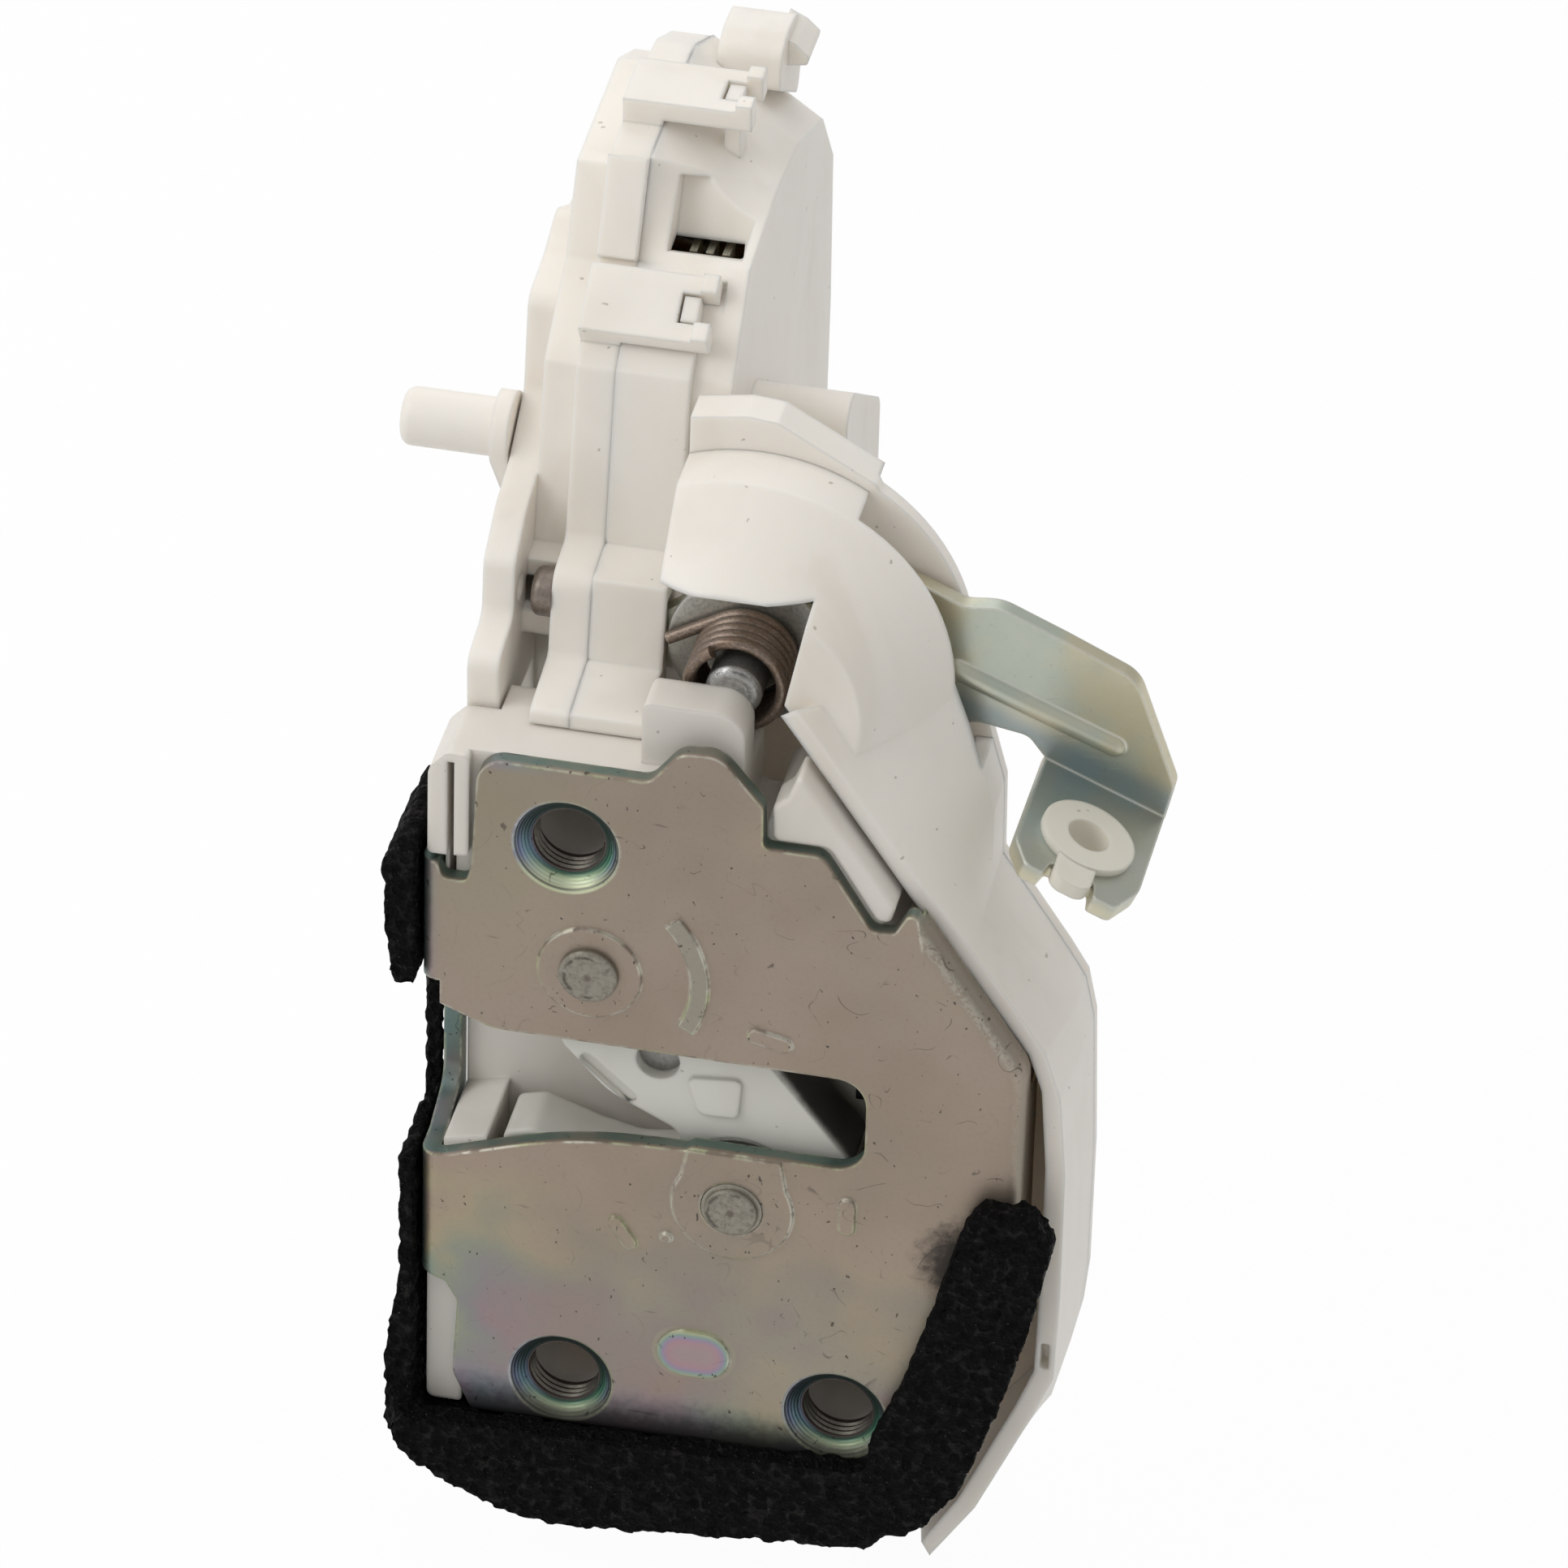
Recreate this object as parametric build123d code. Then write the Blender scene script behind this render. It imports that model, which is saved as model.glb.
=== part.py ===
from build123d import *
import math
import os

# Door latch actuator of a rear side door, in millimetres.
# Origin: centre of the upper fixing hole, on the outer face of the base plate.
# +X runs to the outer side of the door, +Y into the door, +Z up.

# Pressed base plate
plate_t = 2.0
plate_left = -16.0
plate_right = 51.0
plate_top = 9.9
plate_bottom = -79.4
left_flange_depth = 14.0
right_flange_depth = 8.0
chamfer_lip = 3.4
bend_radius = 1.9

# Fixing points: M8 threads in short extruded collars
fix_upper = (0.0, 0.0)
fix_lower_left = (0.3, -72.3)
fix_lower_right = (31.4, -71.8)
fix_points = [fix_upper, fix_lower_left, fix_lower_right]
thread_r = 4.0
dimple_r = 5.9
dimple_depth = 1.5
collar_r = 5.4
collar_depth = 4.6

# Striker slot
slot_top = -25.5
slot_bottom = -37.7
slot_end = 33.7
slot_corner_r = 3.4
mouth_bottom = -43.8

# Catch and pawl
catch_pivot = (19.2, -45.0)
catch_pin_r = 4.0
pawl_pin_r = 3.2
pin_clearance = 0.08
catch_front = 3.2
catch_depth = 7.3
core_t = 4.0
sweep_r = 27.0
pawl_land = 6.316
pawl_bearing_deg = 119.489
bumper_gap = 0.4

# Latch body
body_top = 9.6
body_back = 15.0
body_floor = 2.0
body_wall = 2.2
back_plate_t = 1.6

# Outside handle lever and its drum
lever_axis = (15.9, 16.5)
spindle_r = 3.1
lever_y = 19.3
lever_t = 2.0
drum_r = 22.8
drum_rear_r = 23.6
drum_front = 6.0
drum_edge = 16.4
cover_wall = 1.8
cover_left_x = 8.0
rear_panel_y = 22.0
rear_panel_t = 1.8
tab_length = 21.0
tab_tilt_deg = 22.8
clip_bore_r = 2.4
clip_flange_r = 5.35
clip_flange_t = 0.9
clip_at = (7.0, -12.4)

# Actuator case: two half shells split in a plane at right angles to the plate
case_left_x = -13.5
rim_left_x = -6.0
split_x = -1.6
rim_right_x = 6.6
case_right_x = 11.0
case_wall = 2.0
tier_x = -10.0
tier_inset = 2.6
screw_tip_x = 0.4
case_screw_points = [(20.4, 18.7), (31.5, -39.5), (76.0, -27.0)]
# snap straps: place on the case edge in Y and Z, and its slope
clip_places = [(33.6, 47.4, 33.0), (54.0, 61.6, 3.5)]
strap_width = 8.0
prong_gap = 3.6
window_slope = (41.4, 55.2, 62.0)

# Lock drive
wheel_axis = (46.0, 14.2)
wheel_r = 14.0
wheel_teeth = 24
worm_r = 3.6
lock_arm_t = 2.0
peg_centre = (34.0, 29.8)
peg_r = 3.25
peg_length = 10.4
motor_y = 58.5
motor_length = 18.5
motor_x = -3.0
motor_z = 32.2
worm_pitch = 3.0
case_rear = motor_y + motor_length + 8.0
terminal_rows = [3.2, 5.0, 6.8]

# Foam seal
foam_proud = 3.4

gap = 0.3


def flat(points):
    """Closed face from (x, y, corner radius) points."""
    corners = [(x, y) for x, y, r in points]
    radii = [r for x, y, r in points]
    return make_face(FilletPolyline(*corners, radius=radii, close=True))


def inset(points, distance):
    """Polygon moved inwards by a wall thickness; the points run clockwise."""
    moved = []
    count = len(points)
    for k in range(count):
        x0, y0 = points[k - 1]
        x1, y1 = points[k]
        x2, y2 = points[(k + 1) % count]
        a = math.atan2(y1 - y0, x1 - x0)
        b = math.atan2(y2 - y1, x2 - x1)
        middle = (a + b) / 2 if abs(a - b) <= math.pi else (a + b) / 2 + math.pi
        reach = distance / math.cos((a - b) / 2 if abs(a - b) <= math.pi else (a - b) / 2 - math.pi)
        moved.append((x1 + reach * math.sin(middle), y1 - reach * math.cos(middle)))
    return make_face(Polyline(*moved, close=True))


def across(face, y0, y1):
    """Face drawn in X and Z, as a slab from depth y0 to depth y1."""
    return extrude(Plane.XZ.offset(-y1) * face, y1 - y0)


def sideways(face, x0, x1):
    """Face drawn in Y and Z, as a slab from x0 to x1."""
    return extrude(Plane.YZ.offset(x0) * face, x1 - x0)


def rod_y(centre, r, y0, y1):
    """Round bar along Y at an (x, z) centre."""
    return Pos(centre[0], (y0 + y1) / 2, centre[1]) * Rot(90, 0, 0) * Cylinder(r, y1 - y0)


def rod_x(centre, r, x0, x1):
    """Round bar along X at a (y, z) centre."""
    return Pos((x0 + x1) / 2, centre[0], centre[1]) * Rot(0, 90, 0) * Cylinder(r, x1 - x0)


def block(x0, x1, y0, y1, z0, z1):
    return Pos((x0 + x1) / 2, (y0 + y1) / 2, (z0 + z1) / 2) * Box(x1 - x0, y1 - y0, z1 - z0)


def cone_y(centre, r0, y0, r1, y1):
    """Cone along Y: radius r0 at depth y0 and r1 at depth y1."""
    profile = Polyline((0, y0), (r0, y0), (r1, y1), (0, y1), close=True)
    turned = revolve(make_face(profile), Axis.Y)
    return Pos(centre[0], 0, centre[1]) * turned


def polar(centre, r, deg):
    angle = math.radians(deg)
    return (centre[0] + r * math.cos(angle), centre[1] + r * math.sin(angle))


pawl_pivot = polar(catch_pivot, sweep_r + pawl_land, pawl_bearing_deg)


# Base plate

plate_line = [
    (-9.8, plate_top, 3.0), (8.9, plate_top, 2.0), (12.2, 14.2, 2.5), (16.6, 14.4, 3.0),
    (21.4, 8.6, 1.2), (21.5, 3.4, 0.8), (28.0, 3.4, 2.0), (33.6, -5.5, 1.5),
    (36.0, -5.4, 1.0), (38.3, -1.0, 0.8), (38.7, -3.6, 0), (plate_right, -21.8, 5.0),
    (plate_right, -50.0, 8.0), (44.0, plate_bottom, 5.0), (-9.5, plate_bottom, 0),
    (-12.1, -73.5, 3.0), (-11.6, -63.5, 1.5), (-13.0, -61.0, 1.0), (plate_left, -60.0, 0),
    (plate_left, -4.4, 0), (-14.2, -4.4, 0.5), (-13.6, -6.4, 0.9), (-11.0, -6.4, 0.9),
    (-10.4, -4.0, 0.5),
]


def slot_outline():
    return flat([
        (-20.0, -18.0, 0), (-16.6, -19.2, 0), (-14.4, -22.8, 3.0), (-8.0, slot_top + 0.1, 6.0),
        (slot_end, slot_top, slot_corner_r), (slot_end, slot_bottom, slot_corner_r),
        (14.5, slot_bottom, 0.6), (13.8, slot_bottom - 0.5, 0.6), (1.0, slot_bottom - 1.0, 50.0),
        (-13.4, mouth_bottom, 1.5), (-20.0, mouth_bottom + 0.6, 0),
    ])


def mouth_side_outline():
    """Striker mouth through the left flange, seen from the side, in Y and Z."""
    deep = left_flange_depth - 2.5
    return flat([
        (-1.0, mouth_bottom, 0), (5.0, mouth_bottom, 3.0), (deep, -41.4, 3.0),
        (deep, -25.0, 4.0), (3.0, -20.0, 3.0), (-1.0, -20.0, 0),
    ])


def oblong(x, z, length, width, deg):
    shape = SlotOverall(length, width) if length > width else Circle(width / 2)
    return Pos(x, z) * Rot(0, 0, deg) * shape


def make_base_plate():
    plate = across(flat(plate_line), 0, left_flange_depth)
    front_edges = plate.edges().filter_by_position(Axis.Y, -0.01, 0.01)
    bends = [
        e for e in front_edges
        if e.center().X < plate_left + 0.1 or e.center().X > 38.9 or e.center().Z < plate_bottom + 0.1
    ]
    plate = fillet(bends, bend_radius)
    left = plate_left + plate_t
    right = plate_right - plate_t
    floor = plate_bottom + plate_t
    pocket = flat([(left, 30, 0), (37.0, 30, 0), (37.0, -4.7, 0), (right, -22.4, 3), (right, -49.8, 6),
                   (42.4, floor, 3), (left, floor, 0)])
    plate -= across(pocket, plate_t, left_flange_depth + 1)
    low = plate_bottom + 2 * plate_t
    far = left_flange_depth + 1
    plate -= block(-20, 38.7, plate_t, far, -4.4, 20)
    plate -= block(38.0, 60, chamfer_lip, far, -26, 10)
    plate -= block(38.0, 60, right_flange_depth, far, low - 5, -26)
    plate -= block(-20, -5, plate_t, far, low, -60)
    plate -= block(-20, 60, 5.0, far, plate_bottom - 1, low)
    plate -= across(slot_outline(), -1.0, plate_t + 0.5) - block(-30, -13.9, -5, 20, -60, 0)
    plate -= sideways(mouth_side_outline(), plate_left - 1.0, plate_left + plate_t + 0.2)
    for point in fix_points:
        plate += rod_y(point, collar_r, 0, collar_depth)
    for point in fix_points:
        plate -= rod_y(point, thread_r, -1.0, collar_depth + 1.0)
        plate -= cone_y(point, dimple_r, -0.01, thread_r + 0.3, dimple_depth)
    plate += make_embossments()
    for pivot, r in ((catch_pivot, catch_pin_r), (pawl_pivot, pawl_pin_r)):
        plate -= rod_y(pivot, r - 0.6 + pin_clearance, -1.0, plate_t + 1.0)
    return plate


def make_embossments():
    """Shallow coined pads and stiffening dimples on the outer face."""
    raised = 0.35
    ux, uz = pawl_pivot
    lx, lz = catch_pivot
    arc = Pos(ux, uz) * (Circle(13.2) - Circle(11.2))
    start = polar(pawl_pivot, 30, 42)
    end = polar(pawl_pivot, 30, -28)
    arc = arc & make_face(Polyline((ux, uz), start, (ux + 40, uz), end, close=True))
    pads = [
        arc,
        oblong(22.9, -21.6, 5.0, 1.8, -13),
        oblong(7.0, -50.6, 4.6, 1.7, -57),
        oblong(32.0, -43.9, 4.8, 1.8, 90),
        oblong(15.3, -66.0, 8.2, 6.2, 0),
        oblong(11.9, -50.4, 1.3, 1.3, 0),
        Pos(ux, uz) * Circle(5.75),
        (Pos(lx, lz) * Circle(6.8)) + make_face(
            Polyline((lx - 6.7, lz - 1), (lx - 5.1, slot_bottom - 0.2), (lx + 5.3, slot_bottom - 0.2),
                     (lx + 6.7, lz - 1), close=True)),
    ]
    made = [across(pad, -raised, 0.2) for pad in pads]
    total = made[0]
    for pad in made[1:]:
        total += pad
    return total


def make_pivot_rivet(pivot, pin_r, head_r):
    """Shouldered rivet from the base plate to the back plate."""
    neck_r = pin_r - 0.6
    back = body_back + back_plate_t
    rivet = rod_y(pivot, pin_r, plate_t, body_back)
    rivet += rod_y(pivot, neck_r, -0.4, back + 0.1)
    rivet += rod_y(pivot, head_r, -1.15, -0.36)
    rivet += rod_y(pivot, head_r, back, back + 0.7)
    rim = rivet.edges().filter_by_position(Axis.Y, -1.16, -1.14)
    return fillet(rim, 0.35)


# Latch body

def body_outline():
    return flat([
        (-13.7, body_top, 1.0), (18.4, body_top, 1.5), (18.4, 2.0, 1.0), (21.6, 2.0, 1.0),
        (21.6, 7.0, 1.5), (27.5, 7.0, 2.5), (35.2, -6.6, 2.0), (45.6, -20.8, 3.0),
        (48.6, -27.0, 3.0), (48.6, -49.5, 6.0), (41.7, -77.1, 4.0), (-11.5, -77.1, 0.5),
        (-11.5, -79.2, 0.5), (-15.5, -79.2, 1.0), (-15.5, -60.7, 0.8), (-13.7, -60.7, 0.3),
    ])


def catch_room():
    """Space swept by the catch, the pawl and the striker, in X and Z."""
    lx, lz = catch_pivot
    swing = Pos(lx, lz) * Circle(sweep_r + 1.2)
    upper = Pos(lx, lz + 22) * Rectangle(90, 68)
    hub = Pos(lx, lz) * Circle(15.5)
    pawl_space = flat([(-11.3, -7.2, 3), (20.0, -7.2, 3), (20.0, -24.0, 2), (-11.3, -24.0, 3)])
    passage = flat([(-20, -21.0, 0), (0, slot_top + 1.5, 3), (35.0, slot_top + 1.0, 3),
                    (35.0, slot_bottom - 1.0, 3), (0, slot_bottom - 2, 3), (-20, mouth_bottom - 0.5, 0)])
    return (swing & upper) + hub + pawl_space + passage


def make_latch_body():
    outline = body_outline()
    body = across(outline, plate_t, body_back)
    room = catch_room()
    inner = flat([(-11.5, 4, 0), (16, 4, 0), (33.5, -8.5, 0), (44.0, -22.5, 0), (46.4, -28, 0),
                  (46.4, -49, 0), (40.0, -74.9, 0), (-9.3, -74.9, 0), (-11.5, -60, 0)])
    passage_mouth = Pos(-14, -32.4) * Rectangle(8, 22)
    body -= across(room & (inner + passage_mouth), plate_t - 1, body_back - body_floor)
    # lightening pocket below the catch, with its ribs
    pocket = flat([(8, -59.5, 2), (24, -59.5, 2), (20, -74.5, 3), (9, -74.5, 3)])
    body -= across(pocket, plate_t - 1, body_back - body_floor)
    body -= across(flat([(36.5, -57, 2), (46.0, -50, 2), (42.5, -64, 3), (38.5, -66, 2)]),
                   plate_t - 1, body_back - body_floor)
    # shaft tower in front of the handle spring
    tower = flat([(7.2, 8.0, 0.5), (7.2, 17.3, 1.0), (18.4, 17.3, 3.2), (18.4, 8.0, 0.5)])
    body += across(tower, 4.0, 9.2)
    body -= rod_y(lever_axis, 7.4, 9.2, body_back + 1)
    # finger standing in the plate's notch
    finger = flat([(22.3, 3.95, 1.0), (22.2, 8.3, 1.0), (23.7, 9.6, 1.0), (25.0, 12.9, 0.4),
                   (35.9, -2.7, 0.6), (35.4, -4.7, 0.8), (33.9, -4.7, 0.8), (28.5, 3.95, 1.5)])
    block_front = 1.0
    stand = across(finger, block_front, 5.5)
    body += fillet(stand.edges().filter_by_position(Axis.Y, block_front - 0.01, block_front + 0.01), 0.5)
    # two ribs beside the plate's upper corner
    ribs = flat([(-13.7, -3.6, 0.4), (-15.4, -3.6, 0.6), (-15.4, 7.4, 2.0), (-13.4, body_top, 1.0),
                 (-10.9, body_top, 0.5), (-10.9, -3.4, 0.4)])
    body += across(ribs, 0.6, 10.0)
    body -= block(-13.3, -12.5, 0.0, 5.0, -10, 8.6)
    # corner cut back for the lock case
    body -= block(-20, -9.6, 10.2, body_back + 1, 4.8, 20)
    # lip that carries the lower run of the seal
    lip = flat([(-15.4, -76.0, 0.5), (42.0, -76.0, 0.5), (45.0, -79.0, 1), (40.5, -85.5, 3),
                (36.4, -87.0, 3), (2.0, -90.0, 6), (-11.8, -87.6, 5), (-15.4, -82.5, 2)])
    body += across(lip, 5.4, 7.4)
    for point in fix_points:
        body -= rod_y(point, collar_r + 0.25, plate_t - 1, body_back + 1)
    for pivot, r in ((catch_pivot, catch_pin_r), (pawl_pivot, pawl_pin_r)):
        body -= rod_y(pivot, r + pin_clearance, 0, body_back + 1)
    body -= pin_window(body_back - body_floor - 1, body_back + 1)
    bx0, bx1, bz0, bz1 = bumper_box()
    body -= block(bx0 - 0.05, bx1 + 0.05, 10.0, body_back - 0.6, bz0 - 0.05, bz1 + 0.05)
    return body


def pin_window(y0, y1):
    """Opening in which the pawl's tail pin travels."""
    px, pz = pawl_pin_place()
    return block(px - 2.6, px + 2.6, y0, y1, pz - 5.2, pz + 2.6)


def pawl_pin_place():
    return (pawl_pivot[0] - 9.3, pawl_pivot[1] + 3.0)


def bumper_box():
    return (slot_end - 3.2, slot_end + 2.0, slot_bottom + 1.2, slot_top - 1.2)


def make_striker_bumper():
    x0, x1, z0, z1 = bumper_box()
    bumper = block(x0, x1, catch_front + catch_depth + bumper_gap, body_back - 0.6, z0, z1)
    return fillet(bumper.edges().filter_by(Axis.X), 1.0)


def make_back_plate():
    outline = flat([
        (-8.8, 8.2, 2), (7.0, 8.2, 3), (9.5, -4.0, 4), (24.0, -9.5, 5), (38.5, -20.0, 5),
        (45.0, -34.0, 6), (45.0, -50.0, 6), (39.0, -75.5, 5), (24.0, -75.5, 3), (18.0, -63.0, 5),
        (10.0, -63.0, 5), (7.0, -75.5, 3), (-8.5, -75.5, 5), (-12.5, -58.0, 4), (-12.5, 3.6, 2),
        (-8.8, 4.2, 1),
    ])
    plate = across(outline, body_back, body_back + back_plate_t)
    for point in fix_points:
        plate -= rod_y(point, collar_r + 0.25, 10, 20)
    for pivot, r in ((catch_pivot, catch_pin_r), (pawl_pivot, pawl_pin_r)):
        plate -= rod_y(pivot, r - 0.6 + pin_clearance, 10, 20)
    plate -= pin_window(10, 20)
    rib = flat([(4.0, -26.0, 2), (30.0, -28.0, 2), (34.0, -38.0, 2), (30.0, -58.0, 2), (6.0, -58.0, 2)])
    ring = rib - offset(rib, -2.0)
    plate += across(ring, body_back + back_plate_t - 0.1, body_back + back_plate_t + 0.5)
    plate -= across(oblong(-2.0, -40.0, 20, 8, 90), 10, 20)
    return plate


# Catch and pawl

def tooth(deg, proud):
    """Point on the catch's outer rim, from its pivot; proud is counted from the swept circle."""
    return polar((0, 0), sweep_r + proud, deg)


def catch_profile():
    lx, lz = catch_pivot
    points = [
        (11.6, -5.0, 4), (12.7, 6.0, 1.5), (7.6, 12.3, 3), (4.1, 17.3, 1.5), (2.0, 21.8, 2),
        (*tooth(98.9, -1.3), 5), (*tooth(119.4, -0.5), 5), (*tooth(140.4, 0.25), 1.6),
        (-14.9, 10.8, 7), (-7.2, 6.9, 2.4), (-5.4, 2.2, 2.6), (-12.0, 0.9, 5), (-17.0, 2.0, 6),
        (*tooth(169.8, -3.4), 2), (*tooth(173.1, -0.2), 1.2), (*tooth(184.4, -0.7), 2),
        (-17.0, -6.4, 6), (-8.0, -10.4, 5), (0.0, -12.4, 6), (8.0, -10.6, 5),
    ]
    return flat([(lx + x, lz + z, r) for x, z, r in points])


def make_catch_core():
    y0 = catch_front + (catch_depth - core_t) / 2
    face = offset(catch_profile(), -1.2)
    core = across(face, y0, y0 + core_t)
    hub = rod_y(catch_pivot, 7.0, catch_front, catch_front + catch_depth)
    core += hub
    core -= rod_y(catch_pivot, catch_pin_r + pin_clearance, -5, 30)
    return core


def make_catch_cover(core):
    lx, lz = catch_pivot
    cover = across(catch_profile(), catch_front, catch_front + catch_depth)
    rim = cover.edges().filter_by_position(Axis.Y, catch_front - 0.01, catch_front + 0.01)
    cover = fillet(rim, 0.5)
    pad = flat([(13.2, -30.4, 0.8), (19.4, -29.8, 0.8), (19.0, -35.0, 0.8), (14.6, -35.2, 1.2)])
    cover += across(pad, catch_front - 0.45, catch_front + 0.5)
    cover -= across(oblong(4.4, -32.4, 8.2, 1.5, -42), catch_front - 1, catch_front + 0.9)
    cover -= rod_y((9.9, -28.9), 2.45, catch_front - 1, catch_front + catch_depth / 2)
    cover -= rod_y(catch_pivot, 7.0, -5, 30)
    cover -= rod_y(catch_pivot, catch_pin_r + pin_clearance, -5, 30)
    return cover - core


def make_pawl():
    ux, uz = pawl_pivot
    lx, lz = catch_pivot
    tx, tz = pawl_pin_place()
    y0 = catch_front + (catch_depth - core_t) / 2
    arm = flat([(ux - 2, uz + 5.0, 2), (9.5, -11.2, 4), (15.6, -12.4, 2), (16.6, -15.8, 1.5),
                (15.0, -19.0, 1), (4.0, -22.5, 3), (ux - 4, uz - 4.5, 2)])
    tail = Pos(tx, tz) * Circle(3.2)
    tail += flat([(tx + 0.4, tz + 3.1, 0.5), (ux + 1, uz + 5.2, 0.5), (ux + 1, uz - 3.0, 0.5),
                  (tx - 0.8, tz - 3.0, 0.5)])
    face = (Pos(ux, uz) * Circle(5.6)) + arm + tail
    face -= Pos(lx, lz) * Circle(sweep_r + gap)
    pawl = across(face, y0, y0 + core_t)
    pawl += rod_y((tx, tz), 1.8, y0 + core_t - 0.5, body_back + 4.2)
    pawl -= rod_y(pawl_pivot, pawl_pin_r + pin_clearance, 0, 30)
    return pawl


def coil_y(centre, mean_r, wire_r, y0, y1):
    """Close-wound coil round an axis along Y, as touching rings of wire."""
    turns = max(1, int((y1 - y0) / (2 * wire_r)))
    pitch = (y1 - y0) / turns
    rings = []
    for turn in range(turns):
        y = y0 + pitch * (turn + 0.5)
        rings.append(Pos(centre[0], y, centre[1]) * Rot(90, 0, 0) * Torus(mean_r, pitch / 2 + 0.02))
    coil = rings[0]
    for ring in rings[1:]:
        coil += ring
    return coil


def wire_leg(start, end, r):
    """Straight wire between two points."""
    a = Vector(*start)
    b = Vector(*end)
    along = b - a
    plane = Plane(origin=a, z_dir=along)
    return extrude(plane * Circle(r), along.length)


def make_catch_spring():
    y0 = catch_front + catch_depth + 0.35
    coil = coil_y(catch_pivot, 6.6, 0.6, y0, body_back - body_floor - 0.1)
    lx, lz = catch_pivot
    return coil + wire_leg((lx, y0 + 0.7, lz - 6.6), (lx - 12.5, y0 + 0.7, lz - 8.6), 0.6)


def make_pawl_spring():
    y0 = catch_front + (catch_depth + core_t) / 2 + 0.35
    ux, uz = pawl_pivot
    coil = coil_y(pawl_pivot, 4.3, 0.5, y0, body_back - body_floor - 0.1)
    return coil + wire_leg((ux, y0 + 0.6, uz + 4.3), (ux + 12.0, y0 + 0.6, uz + 6.4), 0.5)


# Outside handle lever, its shaft and spring

def make_handle_spindle():
    shaft = rod_y(lever_axis, spindle_r, 9.2, rear_panel_y + rear_panel_t)
    shaft += rod_y(lever_axis, spindle_r + 1.6, lever_y + lever_t + 0.1, rear_panel_y)
    nose = shaft.edges().filter_by_position(Axis.Y, 9.19, 9.21)
    return chamfer(nose, 0.6)


def make_spindle_washer():
    return rod_y(lever_axis, 9.0, 17.9, 18.9) - rod_y(lever_axis, spindle_r + 0.05, 17, 20)


def make_handle_spring():
    cx, cz = lever_axis
    coil = coil_y(lever_axis, 5.05, 0.7, 9.5, 17.7)
    coil += wire_leg((cx - 2.0, 15.2, cz + 4.6), (cx - 10.3, 15.2, cz + 0.9), 0.7)
    return coil


def lever_outline():
    return flat([
        (15.5, 26.2, 7), (33.0, 27.4, 6), (38.9, 24.8, 3), (42.6, 25.3, 5), (50.2, 22.0, 6),
        (57.9, 18.4, 4), (62.6, 5.4, 2), (61.7, 1.2, 0), (48.4, 6.8, 0), (46.4, 9.4, 2),
        (40.9, 10.3, 3), (36.0, 9.3, 5), (20.0, 7.2, 8), (10.6, 8.8, 3), (7.0, 12.3, 2.5), (1.4, 12.3, 0.8),
        (0.9, 15.0, 1.5), (7.0, 19.5, 4),
    ])


def tab_plane():
    tilt = math.radians(tab_tilt_deg)
    along = (math.cos(tilt), 0, -math.sin(tilt))
    normal = (math.sin(tilt), 0, math.cos(tilt))
    return Plane(origin=(48.4, lever_y + lever_t, 6.8), x_dir=along, z_dir=normal)


def make_outside_lever():
    lever = across(lever_outline(), lever_y, lever_y + lever_t)
    tab = flat([
        (0, 0, 0), (14.4, 0, 0), (14.2, -16.4, 4), (12.2, -tab_length, 1), (9.6, -tab_length, 0.4),
        (9.3, -18.6, 0.6), (4.2, -18.6, 0.6), (3.6, -tab_length, 0.4), (1.6, -tab_length, 1),
        (-0.3, -17.6, 3),
    ])
    plane = tab_plane()
    lever += extrude(plane * tab, -lever_t)
    bore = plane * Pos(clip_at[0], clip_at[1]) * Cylinder(3.5, 12)
    lever -= bore
    bead = wire_leg((38.3, lever_y + 0.4, 16.7), (55.8, lever_y + 0.4, 9.6), 1.35)
    bead += Pos(38.3, lever_y + 0.4, 16.7) * Sphere(1.35) + Pos(55.8, lever_y + 0.4, 9.6) * Sphere(1.35)
    lever += bead & block(30, 70, lever_y - 3, lever_y + 1.5, 0, 30)
    lever -= rod_y(lever_axis, spindle_r + pin_clearance, 10, 30)
    return lever


def make_rod_clip():
    """Snap-in bush for the outside handle rod, with its locating nub."""
    plane = tab_plane()
    at = Pos(clip_at[0], clip_at[1])
    clip = plane * at * Pos(0, 0, clip_flange_t / 2) * Cylinder(clip_flange_r, clip_flange_t)
    clip += plane * at * Pos(0, 0, -lever_t / 2 - 1.2) * Cylinder(3.45, lever_t + 2.4 + 0.1)
    lock = plane * at * Pos(0, 0, -lever_t - 0.95) * Cylinder(4.2, 1.7)
    clip += lock
    for deg in (0, 90):
        clip -= plane * at * Rot(0, 0, deg + 45) * Pos(0, 0, -lever_t - 1.6) * Box(12, 0.9, 3.0)
    nub = flat([(4.5, -16.5, 0.5), (9.0, -16.5, 0.5), (8.9, -21.6, 1.6), (4.6, -21.6, 1.6)])
    clip += extrude(plane.offset(-0.9) * nub, 1.6) - extrude(
        plane.offset(-3.0) * flat([(4.5, -15, 0), (9.0, -15, 0), (9.0, -18.7, 0), (4.5, -18.7, 0)]), 3.0)
    clip -= plane * at * Cylinder(clip_bore_r, 30)
    return clip


def make_release_link():
    lower = flat([(-3.4, 9.3, 1), (3.4, 9.3, 1), (1.6, 3.0, 5), (-3.6, -3.5, 4), (-3.6, -7.6, 1),
                  (-9.3, -7.6, 1), (-9.3, -2.0, 4), (-4.5, 3.5, 5)])
    link = across(lower, 17.2, 19.0)
    link += block(-0.4, 5.0, 17.2, lever_y + 1.8, 7.7, 9.3)
    link += block(-0.4, 5.0, lever_y, lever_y + 1.8, 7.7, 11.6)
    return link


# Covers beside the latch

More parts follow.
